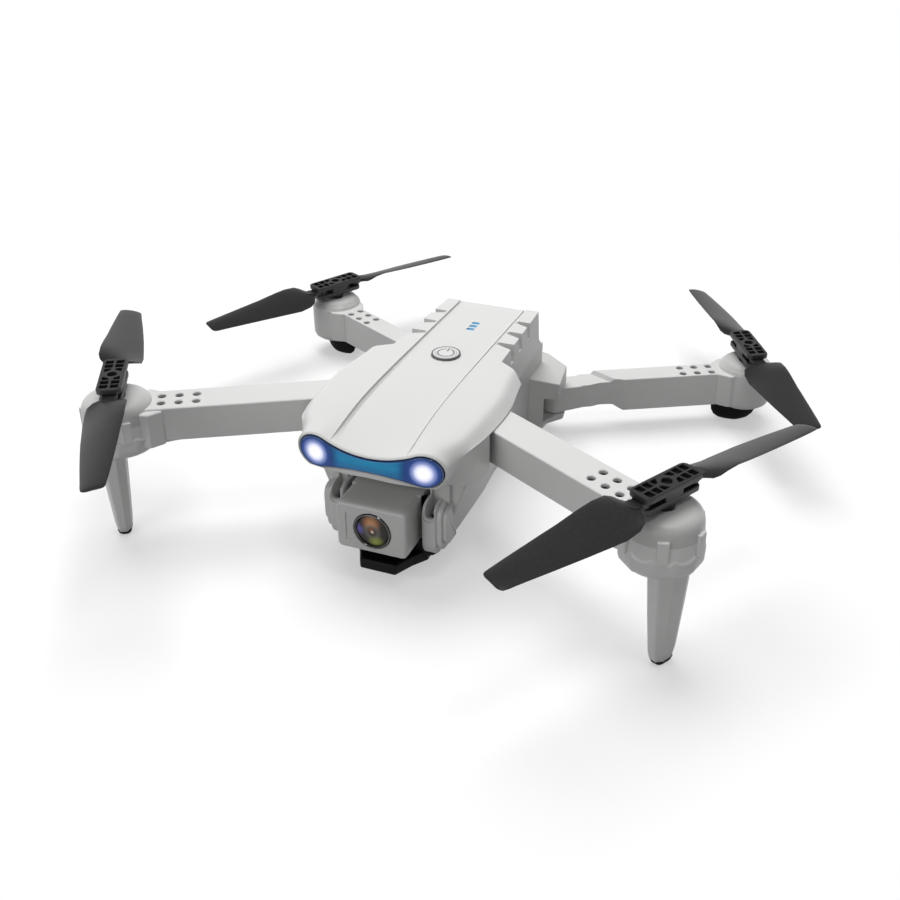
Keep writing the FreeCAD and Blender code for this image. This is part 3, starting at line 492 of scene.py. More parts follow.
def printed_or_shaded_ring(name, inner, outer, symbol):
    """Pale satin paint with a dark ring on it: print on the button, and on the bezel a painted shadow of
    the gap round it. With the symbol, the ring is open at the back for the short stroke of the usual power
    sign."""
    material, tree, at = blank(name)
    place_on = add(tree, "ShaderNodeSeparateXYZ", {"Vector": at})
    side = add(tree, "ShaderNodeMath", {0: place_on.outputs["X"]}, operation="ABSOLUTE")
    along = add(tree, "ShaderNodeMath", {0: place_on.outputs["Y"], 1: BUTTON_Y * MM}, operation="SUBTRACT")
    plan = add(tree, "ShaderNodeCombineXYZ", {"X": place_on.outputs["X"], "Y": along.outputs[0]})
    away = add(tree, "ShaderNodeVectorMath", {0: plan.outputs[0]}, operation="LENGTH")
    # the dark ring: print on the button, a painted shadow of the gap round the bezel
    ink = add(tree, "ShaderNodeMath", {
        0: away.outputs["Value"], 1: 0.5 * (inner + outer) * MM, 2: 0.5 * (outer - inner) * MM},
        operation="COMPARE")
    if symbol:
        beside = add(tree, "ShaderNodeMath", {0: side.outputs[0], 1: 0.75 * MM}, operation="GREATER_THAN")
        before = add(tree, "ShaderNodeMath", {0: along.outputs[0], 1: 0.0}, operation="LESS_THAN")
        kept = add(tree, "ShaderNodeMath", {0: beside.outputs[0], 1: before.outputs[0]}, operation="MAXIMUM")
        arc = add(tree, "ShaderNodeMath", {0: ink.outputs[0], 1: kept.outputs[0]}, operation="MULTIPLY")
        narrow = add(tree, "ShaderNodeMath", {0: side.outputs[0], 1: 0.24 * MM}, operation="LESS_THAN")
        long = add(tree, "ShaderNodeMath", {
            0: along.outputs[0], 1: 2.2 * MM, 2: 1.2 * MM}, operation="COMPARE")
        stroke = add(tree, "ShaderNodeMath", {0: narrow.outputs[0], 1: long.outputs[0]}, operation="MULTIPLY")
        ink = add(tree, "ShaderNodeMath", {0: arc.outputs[0], 1: stroke.outputs[0]}, operation="MAXIMUM")
    paint = add(tree, "ShaderNodeMix", {
        "Factor": ink.outputs[0], "A": colour("#DEDEDD"), "B": colour("#5C5C5E")}, data_type="RGBA")
    shader = add(tree, "ShaderNodeBsdfPrincipled", {"Base Color": paint.outputs["Result"], "Roughness": 0.3})
    add(tree, "ShaderNodeOutputMaterial", {"Surface": shader.outputs["BSDF"]})
    return material


def lens_painted_reflections():
    """Coated optical glass, its reflections painted into its colour: a dark pupil in a grey ring, with copper
    and a pale painted glint in it, and the coating's painted reflections round it, amber above, violet to one
    side and olive below."""
    material, tree, at = blank("coated_glass_painted_reflections")
    place_on = add(tree, "ShaderNodeSeparateXYZ", {"Vector": at})
    # painted reflections: colour, middle across and up, radius in millimetres, each laid over the ones before
    painted_blooms = (("#D99A6C", 0.2, 24.0, 3.8), ("#6E66B4", -3.9, 21.2, 2.4), ("#A3B04E", 1.6, 17.8, 3.2),
              ("#A8A39A", 0.5, 21.2, 3.6), ("#2E1D15", 0.5, 21.2, 3.0), ("#A06A48", 0.3, 21.8, 1.3),
              ("#F2E4D6", 0.6, 21.2, 0.7))
    tint = colour("#3A3632")
    for code, x, z, size in painted_blooms:
        dx = add(tree, "ShaderNodeMath", {0: place_on.outputs["X"], 1: x * MM}, operation="SUBTRACT")
        dz = add(tree, "ShaderNodeMath", {0: place_on.outputs["Z"], 1: z * MM}, operation="SUBTRACT")
        off_middle = add(tree, "ShaderNodeCombineXYZ", {"X": dx.outputs[0], "Y": dz.outputs[0]})
        away = add(tree, "ShaderNodeVectorMath", {0: off_middle.outputs[0]}, operation="LENGTH")
        fade = add(tree, "ShaderNodeMapRange", {
            "Value": away.outputs["Value"], "From Min": size * MM, "From Max": 0.3 * MM},
            interpolation_type="SMOOTHSTEP")
        mixed = add(tree, "ShaderNodeMix", {
            "Factor": fade.outputs["Result"], "A": tint, "B": colour(code)}, data_type="RGBA")
        tint = mixed.outputs["Result"]
    shader = add(tree, "ShaderNodeBsdfPrincipled", {
        "Base Color": tint, "Roughness": 0.08, "Specular IOR Level": 0.2})
    add(tree, "ShaderNodeOutputMaterial", {"Surface": shader.outputs["BSDF"]})
    return material


def glowing(name, code, strength):
    """A lamp behind a milky window, a little cloudy in its gloss."""
    material, tree, at = blank(name)
    cloud = add(tree, "ShaderNodeTexNoise", {"Vector": at, "Scale": 1 / (0.8 * MM)})
    milk = add(tree, "ShaderNodeMapRange", {"Value": cloud.outputs["Fac"], "To Min": 0.25, "To Max": 0.4})
    shader = add(tree, "ShaderNodeBsdfPrincipled", {
        "Base Color": colour(code), "Roughness": milk.outputs["Result"], "Emission Color": colour(code),
        "Emission Strength": strength})
    add(tree, "ShaderNodeOutputMaterial", {"Surface": shader.outputs["BSDF"]})
    return material


# ABS from spark-eroded tools: pale and satin, each part a little greyer or glossier than the next
abs_shell = moulded("satin_moulded_abs", "#DEDEDD", "#D9D9D8", 0.42)
abs_lower = moulded("satin_moulded_abs_lower", "#D2D2D1", "#CDCDCC", 0.42)
abs_arm = moulded("satin_moulded_abs_arm", "#DCDCDB", "#D7D7D6", 0.40)
abs_pod = moulded("satin_moulded_abs_pod", "#C6C6C5", "#C0C0BF", 0.30)
abs_camera = moulded("satin_moulded_abs_camera", "#C9C9C8", "#C3C3C2", 0.38)
# black ABS swallows the light, and rubber does so more, matt and with a fine pebble
abs_black = moulded("black_moulded_abs", "#070707", "#0A0A0B", 0.45, 0.3, 0.06, shine=0.12)
foot_rubber = moulded("moulded_black_rubber", "#070707", "#0B0B0B", 0.75, 0.5, 0.15, shine=0.12)
# nylon clamps catch soft lights along their ribs
nylon_clamp = moulded("black_moulded_nylon", "#1A1A1B", "#222223", 0.45, 0.3, 0.08)
# ABS polished in its tool shines like lacquer
gloss_black = moulded("polished_black_abs", "#2A2826", "#24221F", 0.18, 0.4, 0.02, coat=0.4)
blade_nylon = nylon_blade("pressed_glass_filled_nylon")
# the bar's acrylic is glassy, and its rim is dyed ink blue
bar_acrylic = lit_bar()
bar_rim_acrylic = moulded("ink_blue_acrylic_rim", "#1C4478", "#17386A", 0.20, 0.4, 0.01, coat=0.5)
# the lens's reflections are painted into its colour
lens_glass = lens_painted_reflections()
blue_lamp = glowing("blue_status_lamp", "#2583B4", 0.5)
white_lamp = glowing("white_headlamp", "#F4F5FF", 1.0)
# drawn cans are softly bright, turned pins brighter, and blackened screws nearly dull
motor_can = satin_steel("drawn_steel_can", "#A8A8AA", 0.34)
pin_steel = satin_steel("turned_steel_pin", "#B4B4B6", 0.28)
screw_steel = satin_steel("blackened_steel_screw", "#3A3A3C", 0.42)
# the bezel's dark outer ring is a painted shadow of the gap round it; the button's ring and sign are print
bezel_gap_shadow = printed_or_shaded_ring("bezel_painted_gap_shadow", 4.3, 6.0, False)
button_paint = printed_or_shaded_ring("painted_power_button", 2.5, 2.95, True)
# solder mask is a glossy green film, chip resin is matt, and the shrunk sleeve is a slack satin film
solder_mask = moulded("green_solder_mask", "#14532B", "#0F4423", 0.30, 0.6, 0.05)
chip_resin = moulded("moulded_chip_resin", "#1B1B1D", "#222224", 0.55, 0.3, 0.10)
battery_wrap = moulded("shrunk_battery_sleeve", "#22252A", "#2A2D33", 0.35, 1.2, 0.10)


# ================================================================ upper shell

# y, half width, height at the shoulders
SHELL_STATIONS = [
    (-75.0, 24.8, 53.0), (-72.5, 25.7, 53.0), (-70.0, 26.5, 53.1), (-66.0, 27.4, 53.2), (-61.0, 28.5, 53.3),
    (-55.0, 29.6, 53.4), (-50.0, 30.1, 53.4), (-43.0, 30.5, 53.4), (-36.0, 30.5, 53.4), (-31.0, 29.9, 53.35),
    (-26.6, 29.2, 53.3), (-20.0, 28.3, 53.15), (-12.0, 28.0, 52.95), (0.0, 28.0, 52.65), (16.0, 28.0, 52.25),
    (41.0, 28.0, 51.6),
]
# y, depth of the sunk strip
STRIP_DEPTHS = [
    (-76.0, 0.5), (-72.0, 0.7), (-64.0, 1.0), (-50.0, 1.15), (-40.0, 1.05), (-20.0, 0.7), (0.0, 0.5),
    (41.0, 0.42),
]
STRIP_XS = [13.4, 12.8, 12.6, 12.5, 12.0, 11.9, 11.4, 10.6, 9.5, 7.0, 4.0, 0.0]
SHOULDER_POINTS = 17


def between(stations, y):
    """Values of the stations at y, run smoothly through them."""
    if y <= stations[0][0]:
        return stations[0][1:]
    for i in range(len(stations) - 1):
        a, b = stations[i], stations[i + 1]
        if y <= b[0]:
            before = stations[i - 1] if i > 0 else a
            after = stations[i + 2] if i + 2 < len(stations) else b
            t = (y - a[0]) / (b[0] - a[0])
            values = []
            for k in range(1, len(a)):
                m1 = (b[k] - before[k]) / (b[0] - before[0]) * (b[0] - a[0])
                m2 = (after[k] - a[k]) / (after[0] - a[0]) * (b[0] - a[0])
                values.append((2 * t ** 3 - 3 * t ** 2 + 1) * a[k] + (t ** 3 - 2 * t ** 2 + t) * m1
                              + (3 * t ** 2 - 2 * t ** 3) * b[k] + (t ** 3 - t ** 2) * m2)
            return tuple(values)
    return stations[-1][1:]


def strip_depth(y):
    """How deep the strip along the top is sunk."""
    return between(STRIP_DEPTHS, y)[0]


def crease_depth(x, y):
    """How far the sunk strip, and the fine slot along each of its edges, lie below the top skin."""
    slot_x, slot_half, slot_deep = CREASE_SLOT
    slot = slot_deep if abs(abs(x) - slot_x) < slot_half else 0.0
    return strip_depth(y) * eased(CREASE + 0.4 - abs(x)) + slot


def shell_top(x, y, half, shoulder):
    """Height of the shell's top skin: a nearly flat top, eased into slanting shoulders."""
    flat = shoulder - 0.35 * (abs(x) / half) ** 2
    slant = SIDE_TOP + 1.25 * (half - abs(x))
    soft = 1.5
    share = clamped(0.5 + 0.5 * (flat - slant) / soft)
    skin_height = flat * (1 - share) + slant * share - soft * share * (1 - share)
    return skin_height - crease_depth(x, y)


def nose_rim(xs):
    """Left half of the nose's edge round the light bar, from below the lobe to the middle."""
    across_r, up_r = LOBE_HALF + NOSE_LIP, LOBE_RISE + NOSE_LIP
    around = [math.radians(-66.0 + 176.0 * k / 22) for k in range(23)]
    rim = [(LOBE_X + across_r * math.cos(t), LOBE_Z + up_r * math.sin(t)) for t in around]
    level = BAR_WAIST[1]
    joint = LOBE_X - LOBE_HALF * math.sin(lobe_joint(level))
    bend = (LOBE_Z + LOBE_RISE * math.cos(lobe_joint(level)) - level) / joint ** 2
    for x in xs:
        if x < joint:
            rim.append((x, level + bend * x * x + NOSE_LIP))
        else:
            rise = LOBE_RISE * math.sqrt(1 - ((x - LOBE_X) / LOBE_HALF) ** 2)
            rim.append((x, LOBE_Z + rise + NOSE_LIP))
    return rim


def inset_rim(rim, distance):
    """Draws the nose's edge in towards the bar."""
    drawn = []
    for x, z in rim:
        outwards = max(0.0, (x - LOBE_X) / LOBE_HALF)
        upwards = math.copysign(min(1.0, abs(z - LOBE_Z) / 3.0), z - LOBE_Z)
        drawn.append((max(0.0, x - distance * outwards), z - distance * upwards))
    return drawn


def shell_ring(y, shrink=0.0, push=0.0):
    """One section of the upper shell, from the right wall over the top to the left and back underneath."""
    half, shoulder = between(SHELL_STATIONS, y)
    low = SEAM + max(0.0, (NOSE_BEND - y) / 14.0 * 1.9)
    wall = (low + shrink, low + 2.0 + shrink, low + 4.5, low + 7.0, SIDE_TOP - 2.6, SIDE_TOP - 1.7)
    side = [(half - shrink, z) for z in wall]
    # the shoulder is a squarish curve, filled up to the same number of points in every section
    for k in range(SHOULDER_POINTS):
        x = half * abs(math.cos(math.radians(5.0 * k))) ** (1.0 / 3.0)
        if x > 14.2:
            side.append((x - shrink, shell_top(x, y, half, shoulder) - shrink))
    edge_x = side[-1][0]
    missing = len(wall) + SHOULDER_POINTS - len(side)
    filling = [edge_x + (13.6 - edge_x) * (k + 1) / (missing + 1) for k in range(missing)]
    for x in filling + STRIP_XS:
        side.append((x, shell_top(x, y, half, shoulder) - shrink))
    turn = eased((-63.0 - y) / 11.6)
    fall = clamped((-40.0 - y) / 34.6) ** 2.2
    if fall > 0:
        # towards the nose the section goes over into the edge round the light bar
        rolled = []
        for k, ((x, z), (u, v)) in enumerate(zip(side, inset_rim(nose_rim(STRIP_XS), shrink))):
            drop = turn + (fall - turn) * clamped((k - len(wall)) / 10.0)
            kept = drop * (1 - fall ** 3) * crease_depth(x, y) if k >= len(side) - len(STRIP_XS) else 0.0
            rolled.append((x + (u - x) * turn, z + (v - z) * drop - kept))
        side = rolled
    spread = len(side) - 1
    foot_x, foot_z = side[0]
    under = [(foot_x * (1 - k / spread), foot_z) for k in range(len(side))]

    def bow(x):
        """The nose is curved in plan and everything behind it straightens out."""
        reach = max(0.0, (NOSE_BEND - y) / 13.6)
        return y + reach * (-0.3 + NOSE_BOW * x * x) - push

    top = [(x, bow(x), z) for x, z in side]
    bottom = [(x, bow(x), z) for x, z in under]
    over = [(-x, y, z) for x, y, z in top] + top[-2::-1]
    return over + bottom[1:] + [(-x, y, z) for x, y, z in bottom[-2:0:-1]]


def leaning(side):
    """Plan of a gill, which leans in upwards with the shoulder it is cut in."""
    return lambda u, v, w: (u + side * 0.45 * (52.0 - w), v, w)


def upper_shell_tools():
    """What is cut from the upper shell: the nose for the bar and the camera, the tail's end and both
    of its tapering sides, the front arms' channels, the gills, and the seats of button and lights."""
    arch = [(x, 38.3 + 1.9 * max(0.0, 1 - (x / 15.5) ** 2) ** 1.5) for x in range(-16, 17)]
    rear = [(31.8, 56), (31.8, 51.5), (33.2, 40.2), (36.4, 37.0), (36.4, 30), (60, 30), (60, 56)]
    tools = [bar_tool(), slab("nose_arch", arch + [(16, 30), (-16, 30)], -80, -66, 0, fore_aft),
             slab("tail_end", rear, -40, 40, 0, across)]
    chevron = [(TAIL_FRONT_HALF, -12.9), (28.9, -19.6), (45, -19.6), (45, 60), (TAIL_HALF, 60),
               (TAIL_HALF, 31.8)]
    channel = [(17.2, -53), (45, -53), (45, -12.5), (23.3, -12.5), (21.2, -21.4), (17.2, -21.4)]
    for s in (-1, 1):
        tools.append(slab("chevron", [(s * x, y) for x, y in chevron], 30, 60, 0))
        tools.append(slab("channel", [(s * x, y) for x, y in channel], 30, EAVES, 0))
        for y0 in GILL_FRONTS:
            gill = [(13.2, y0 + 3.1), (21.0, y0 - 0.3), (21.0, y0 + 4.9), (13.6, y0 + 4.7)]
            gill = [(s * x, y) for x, y in rounded(gill, 0.3, 2)]
            tools.append(slab("gill", gill, 46.4, 60, 0, leaning(s)))
    tools.append(drill(4.95, 0, BUTTON_Y, 50.0, 52.46, 0.1, 48))
    for y in STATUS_YS:
        tools.append(block("lamp_seat", -1.35, 1.35, y - 0.9, y + 0.9, 48, 60, 0, 0.35))
    return tools


def upper_shell():
    """The upper shell with its nose round the light bar and its toothed tail."""
    ys = [-74.6, -73.9, -73.0, -71.8, -70.4, -69.0]
    ys += [-69.0 + 1.5 * k for k in range(1, 28)]
    ys += [-24.0, -20.0, -15.0, -9.0, -2.0, 6.0, 14.0, 22.0, 30.0, 41.0]
    rounding = ((0.95, 0.7), (0.7, 0.66), (0.45, 0.54), (0.22, 0.34), (0.08, 0.15))
    rings = [shell_ring(ys[0], shrink, push) for shrink, push in rounding]
    rings += [shell_ring(y) for y in ys]
    points, faces = skin(rings)
    count = len(rings[0])
    # the nose and the tail are closed by ladders of faces from top to bottom
    for start in (0, (len(rings) - 1) * count):
        for i in range((count + 2) // 2 - 1):
            corners = (start + i, start + i + 1, start + (count - i - 1) % count, start + (count - i) % count)
            faces.append(tuple(dict.fromkeys(corners)))
    shell = new_piece("upper_shell_moulding", points, faces, 50)
    return work(shell, upper_shell_tools(), sharp_degrees=32)


# ================================================================ light bar

def lobe_joint(level):
    """Angle round a lobe where the waist's curve leaves it without a kink."""
    low, high = math.radians(2), math.radians(70)
    for _ in range(60):
        a = 0.5 * (low + high)
        gap = LOBE_Z + LOBE_RISE * math.cos(a) - level
        slope = LOBE_RISE / LOBE_HALF * math.tan(a)
        if gap > slope * (LOBE_X - LOBE_HALF * math.sin(a)) / 2:
            low = a
        else:
            high = a
    return a


def bar_outline(steps=22):
    """The bar's outline from the front, anticlockwise, each point with the height of the edge opposite."""
    curves = []
    for level, sign in ((BAR_WAIST[1], 1), (2 * LOBE_Z - BAR_WAIST[0], -1)):
        a = lobe_joint(level)
        joint = (LOBE_X - LOBE_HALF * math.sin(a), LOBE_Z + LOBE_RISE * math.cos(a))
        bend = (joint[1] - level) / joint[0] ** 2
        curve = [(joint[0] * k / 12, level + bend * (joint[0] * k / 12) ** 2) for k in range(13)]
        sweep = [a - (a + math.pi / 2) * k / steps for k in range(1, steps + 1)]
        curve += [(LOBE_X - LOBE_HALF * math.sin(t), LOBE_Z + LOBE_RISE * math.cos(t)) for t in sweep]
        curves.append([(x, LOBE_Z + sign * (z - LOBE_Z)) for x, z in curve])
    top, bottom = curves
    left_top = [(x, z, below) for (x, z), (_, below) in zip(top, bottom)]
    left_low = [(x, z, above) for (x, z), (_, above) in zip(bottom, top)]
    right_top = [(-x, z, below) for x, z, below in left_top]
    right_low = [(-x, z, above) for x, z, above in left_low]
    return left_low + left_top[-2:0:-1] + right_top + right_low[-2:0:-1]


def bar_ring(share, level, grow=0.0):
    """The outline drawn towards its middle line, bent round the nose."""
    ring = []
    for x, z, opposite in bar_outline():
        mid_x = max(-LOBE_X, min(LOBE_X, x))
        mid_z = LOBE_Z if abs(x) >= LOBE_X else 0.5 * (z + opposite)
        u = mid_x + (x - mid_x) * share
        v = mid_z + (z - mid_z) * share
        if grow:
            away = Vector((x - mid_x, z - mid_z)).normalized() * grow
            u, v = u + away.x, v + away.y
        ring.append((u, level + NOSE_BOW * u * u, v))
    return ring


def bar_tool():
    """Opening for the bar, with a flared lip."""
    levels = ((0.12, -72.0), (0.12, -75.0), (0.25, -75.3), (0.45, -75.5), (0.5, -78.0))
    return loft("bar_opening", [bar_ring(1.0, level, grow) for grow, level in levels])


def light_bar():
    """The bar's domed pane and the rim round it."""
    dome = [(0.90, 0.12), (0.86, 0.02), (0.7, -0.08), (0.45, -0.15), (0.2, -0.18), (0.02, -0.19)]
    steps = [(0.02, BAR_BACK), (0.90, BAR_BACK)] + [(share, BAR_FACE + level) for share, level in dome]
    bar = loft("light_bar_pane", [bar_ring(share, level) for share, level in steps], 60)
    rim_steps = [(0.91, -73.6), (1.0, -73.6), (1.0, -75.2), (0.985, -75.6), (0.955, -75.8), (0.925, -75.82),
                 (0.91, -75.7)]
    rings = [bar_ring(share, level) for share, level in rim_steps]
    rim = loft("light_bar_rim", rings + rings[:1], 50, closed_end=False)
    return bar, rim


# ================================================================ lower shell, camera, belly

def hull_ring(y, low_half, high_half, shrink=0.0):
    """One section of the lower shell, wider at the seam than at its floor."""
    top = SEAM - 0.05
    outline = [(-low_half, HULL_FLOOR, 2.2), (low_half, HULL_FLOOR, 2.2), (high_half, top, 0.25),
               (-high_half, top, 0.25)]
    points = rounded(outline, 1.0, 5)
    if shrink:
        points = inset(points, shrink)
    return [(x, y, z) for x, z in points]


def roof_height(x):
    """Height of a rear housing's roof, which falls a little outwards."""
    return 26.8 + 0.16 * (27.9 - abs(x))


def rear_housing():
    """Block round the left rear arm's hinge, its roof falling a little outwards."""
    outline = [(12.0, 24.0, 0.2), (TAIL_HALF, 24.0, 0.2), (27.9, 26.6, 0.7), (26.0, 41.4, 0.7),
               (TAIL_HALF, 46.6, 0.7), (12.0, 46.6, 0.2)]
    low, high = 7.0, 20.0

    def lay(u, v, w):
        share = (w - low) / (high - low)
        return (u, v, low + share * (roof_height(u) - low))

    return slab("rear_housing", rounded(outline, 1.0, 4), low, high, 0.35, lay)


def ear():
    """The left ear that carries the camera: a thick plate with two thinner steps outside it, a neck, and a
    pocket in front with a deeper well at its foot."""
    y, z = CAMERA_PIVOT
    back = -57.5
    layers = []
    for inner, reach, size, edge in ((13.2, 18.0, 7.0, 0.9), (14.0, 19.5, 6.1, 0.5), (14.0, 20.8, 5.0, 0.5)):
        foot = z - size - 4.6 * size / 7.0
        outline = [(back, z + size, 0.3), (y - size, z + size, size - 0.05), (y - size, foot, size - 0.05),
                   (back, foot, 0.3)]
        layers.append(slab("ear", rounded(outline, 1.0, 10), inner, reach, edge, across, 4))
    piece = layers[0]
    neck = rounded([(back, 20.0, 0.3), (back, 36.2, 0.3), (-61.5, 36.2, 0.3), (-61.5, 20.0, 0.3)], 1.0, 3)
    join(piece, layers[1:] + [slab("ear_neck", neck, 14.2, 20.2, 0.6, across, 3)])
    pocket = rounded([(14.3, 23.9, 1.4), (17.2, 23.9, 1.4), (17.2, 40.0, 0.1), (14.3, 40.0, 0.1)], 0.2, 6)
    mouth = rounded([(13.85, 23.3, 1.8), (17.65, 23.3, 1.8), (17.65, 40.0, 0.1), (13.85, 40.0, 0.1)], 0.2, 6)
    front = y - 6.9
    rings = []
    for level, outline in ((-1, mouth), (0.3, mouth), (0.8, pocket), (7.6, pocket)):
        rings.append([(x, front + level, v) for x, v in outline])
    well = [(front + 1.8, 25.0), (front + 1.8, 19.0), (front + 7.4, 19.0), (front + 7.4, 25.0)]
    return work(piece, [loft("pocket", rings), slab("pocket_well", well, 14.5, 17.0, 0, across)])


def lower_shell():
    """The lower shell with the camera's ears and room, the rear housings and their arms' slots."""
    # y, half width at the floor, half width at the seam
    stations = [(-59.6, 15.8, 26.0), (-48.0, 17.0, 28.4), (-24.0, 17.0, 27.4), (-13.0, 16.6, 19.25),
                (31.8, 16.4, TAIL_HALF), (36.4, 16.4, TAIL_HALF), (39.0, 16.2, 17.2)]
    rings = [hull_ring(-60.0, 15.8, 26.0, shrink=0.5)]
    rings += [hull_ring(y, low, high) for y, low, high in stations]
    shell = loft("lower_shell_moulding", rings, 35)
    room = rounded([(-70, 12.4), (-52.4, 12.4), (-52.4, 31.6), (-70, 31.6)], 4.0, 6)
    work(shell, [slab("camera_room", room, -13.2, 13.2, 0, across)])
    parts = []
    for s in (1, -1):
        for made in (rear_housing(), ear()):
            if s < 0:
                shift(made, Matrix.Scale(-1, 4, (1, 0, 0)))
            parts.append(made)
    join(shell, parts)
    # a rear arm rests 28.2 degrees back of square and folds 98 degrees forwards, and each slot
    # clears its tongue all the way
    fold = math.radians(28.2 - 98.0)
    x, y = REAR_HINGE
    eye = 4.9
    inner = (x + eye * math.sin(fold), y - eye * math.cos(fold))
    front = (inner[0] + 60 * math.cos(fold), inner[1] + 60 * math.sin(fold))
    swing = [inner, front, (60, front[1]), (60, 60), (x - 3.2, 60), (x - 3.2, y), (x - eye, y)]
    sill = [(21.0, 23.0), (32.0, 23.0), (32.0, 41.0), (27.2, 38.4), (22.0, 31.5)]
    tools = [block("cap_seat", -14.45, 14.45, 30, 50, 9.6, 30.5, 0, 0.4)]
    for s in (1, -1):
        tools.append(slab("tongue_slot", [(s * a, b) for a, b in swing], 8.9, 20.7, 0))
        tools.append(slab("sill", [(s * a, b) for a, b in sill], 5.0, 9.2, 0))
    return work(shell, tools, sharp_degrees=35)


def belly_tray():
    """Black tray under the camera, with a raised step across it under the ears."""
    plan = [(-12.4, -34.0, 1.0), (12.4, -34.0, 1.0), (12.4, -60.8, 0.8), (9.2, -65.5, 0.8), (6.0, -72.2, 1.0),
            (-6.0, -72.2, 1.0), (-9.2, -65.5, 0.8), (-12.4, -60.8, 0.8)]
    tray = slab("belly_tray", rounded(plan, 1.0, 4), 3.6, 7.6, 0.8, steps=4)
    step = [(-15.4, -57.6), (15.4, -57.6), (14.0, -60.4), (11.0, -62.0), (-11.0, -62.0), (-14.0, -60.4)]
    return join(tray, [slab("tray_shoulder", rounded(step, 0.4, 3), 5.6, 11.4, 0.5)])


def camera_case():
    """The camera's case with its rounded front, the drum between the ears and the lens's bore."""
    y, z = CAMERA_PIVOT
    face = rounded([(-11.6, 13.2), (11.6, 13.2), (11.6, 29.4), (-11.6, 29.4)], 2.0, 6)
    rounding = ((0.85, -75.55), (0.5, -75.47), (0.22, -75.25), (0.05, -74.95), (0.0, -74.6), (0.0, -59.0))
    rings = [[(u, level, v) for u, v in inset(face, shrink)] for shrink, level in rounding]
    case = loft("camera_case", rings, 40)
    drum = [(y - 3, z - 8, 0.3), (y + 3, z - 8, 3.0), (y + 8, z - 4, 4.0), (y + 8, z + 4, 4.0),
            (y + 3, z + 7.4, 3.0), (y - 3, z + 7.4, 0.3)]
    join(case, [slab("drum", rounded(drum, 1.0, 7), -11.6, 11.6, 0.3, across)])
    window = rounded([(-8.5, 16.4), (-6.7, 16.4), (-6.7, 26.2), (-8.5, 26.2)], 0.4, 3)
    # the case's back is rounded off so that it swings clear of the belly
    back = 8.2
    around = [math.radians(a) for a in range(-80, 56, 9)]
    swing = [(y + back * math.cos(a), z + back * math.sin(a)) for a in around]
    swing += [(y + 20, z + back), (y + 20, z - 20), (y + 1.5, z - 20)]
    bore = [(0, -3.0), (6.35, -3.0), (6.35, 0.35), (6.75, 0.75), (6.75, 5), (0, 5)]
    tools = [slab("sensor_window", window, -80, -75.2, 0, fore_aft),
             slab("back_rounding", swing, -13, 13, 0, across),
             shift(turned("lens_bore", bore, steps=64), facing_front(-75.5))]
    return work(case, tools, sharp_degrees=35)


def lens_pieces():
    """The lens's black ring and its domed glass."""
    bore = 5.3
    barrel = [(6.2, -3.4), (6.2, 0.05), (6.05, 0.32), (5.85, 0.40), (5.65, 0.32), (5.45, -0.1), (5.35, -0.2),
              (bore, -0.5), (bore, -3.4)]
    ring = turned("camera_lens_ring", barrel, steps=64, sharp_degrees=28)
    around = [math.radians(t) for t in range(0, 90, 10)]
    dome = [(0, -3.2), (bore, -3.2)] + [(bore * math.cos(t), -0.55 + 0.8 * math.sin(t)) for t in around]
    glass = turned("camera_lens", dome + [(0, 0.25)], steps=56, sharp_degrees=40)
    return shift(ring, facing_front(-75.6)), shift(glass, facing_front(-75.6))


def facing_front(level):
    """Lays a piece turned round the vertical so that it looks out of the nose, on the lens's axis."""
    turn = Matrix.Rotation(math.radians(90), 4, "X")
    return Matrix.Translation(Vector((LENS_X, level, LENS_Z)) * MM) @ turn


# ================================================================ arms
# made round their rotor axis, pointing out along X

def vent_tools(high):
    """Two rows of three vent holes in an arm's top."""
    tools = []
    for row in range(3):
        for side in (-2.4, 2.4):
            tools.append(drill(1.3, -13.9 - 5.5 * row, side, high - 6.5, high - 0.02, 0.22, 24))
    return tools


def vent_shade_sheet(high):
    """Black sheet a little below the arm's top, under the vent holes: painted shade inside them."""
    return block("vent_shade_sheet", -27.5, -11.5, -3.9, 3.9, high - 1.6, high - 1.2, 0)


def leg():
    """The front leg, eight-sided and tapering to its foot."""
    rings = []
    for z, along, broad in LEG_STATIONS:
        facet = 0.42 * broad
        plan = [(along, facet), (0.5 * along, broad), (-0.5 * along, broad), (-along, facet),
                (-along, -facet), (-0.5 * along, -broad), (0.5 * along, -broad), (along, -facet)]
        rings.append([(LEG_OUT + u, v, z) for u, v in rounded(plan, 0.12 * (along + broad), 3)])
    return loft("leg", rings, 25)


def front_barrel():
    """The front motor's barrel, its skirt faceted like a nut."""
    facets = 12

    def nut(a, r, z):
        """The lower skirt is faceted like a nut and its top edge runs in shallow scallops."""
        slot = (a * facets / (2 * math.pi)) % 1.0 - 0.5
        if z > 41.6:
            return r, z
        flat = math.cos(math.pi / facets) / math.cos(2 * math.pi / facets * slot)
        if z > 39.0:
            return r * (0.985 + 0.015 * flat), z + 1.1 * (4 * slot * slot - 0.5)
        return r * flat if r > 10.9 else r, z

    profile = [(0, 33.4), (8.8, 33.4), (10.0, 33.7), (11.0, 34.4), (11.7, 35.4), (12.05, 36.6), (12.1, 38.0),
               (12.1, 39.7), (11.95, 40.0), (11.55, 40.5), (11.45, 42.0), (11.4, 44.2), (11.2, 44.55),
               (0, 44.55)]
    return turned("barrel", profile, steps=112, sharp_degrees=24, wobble=nut)


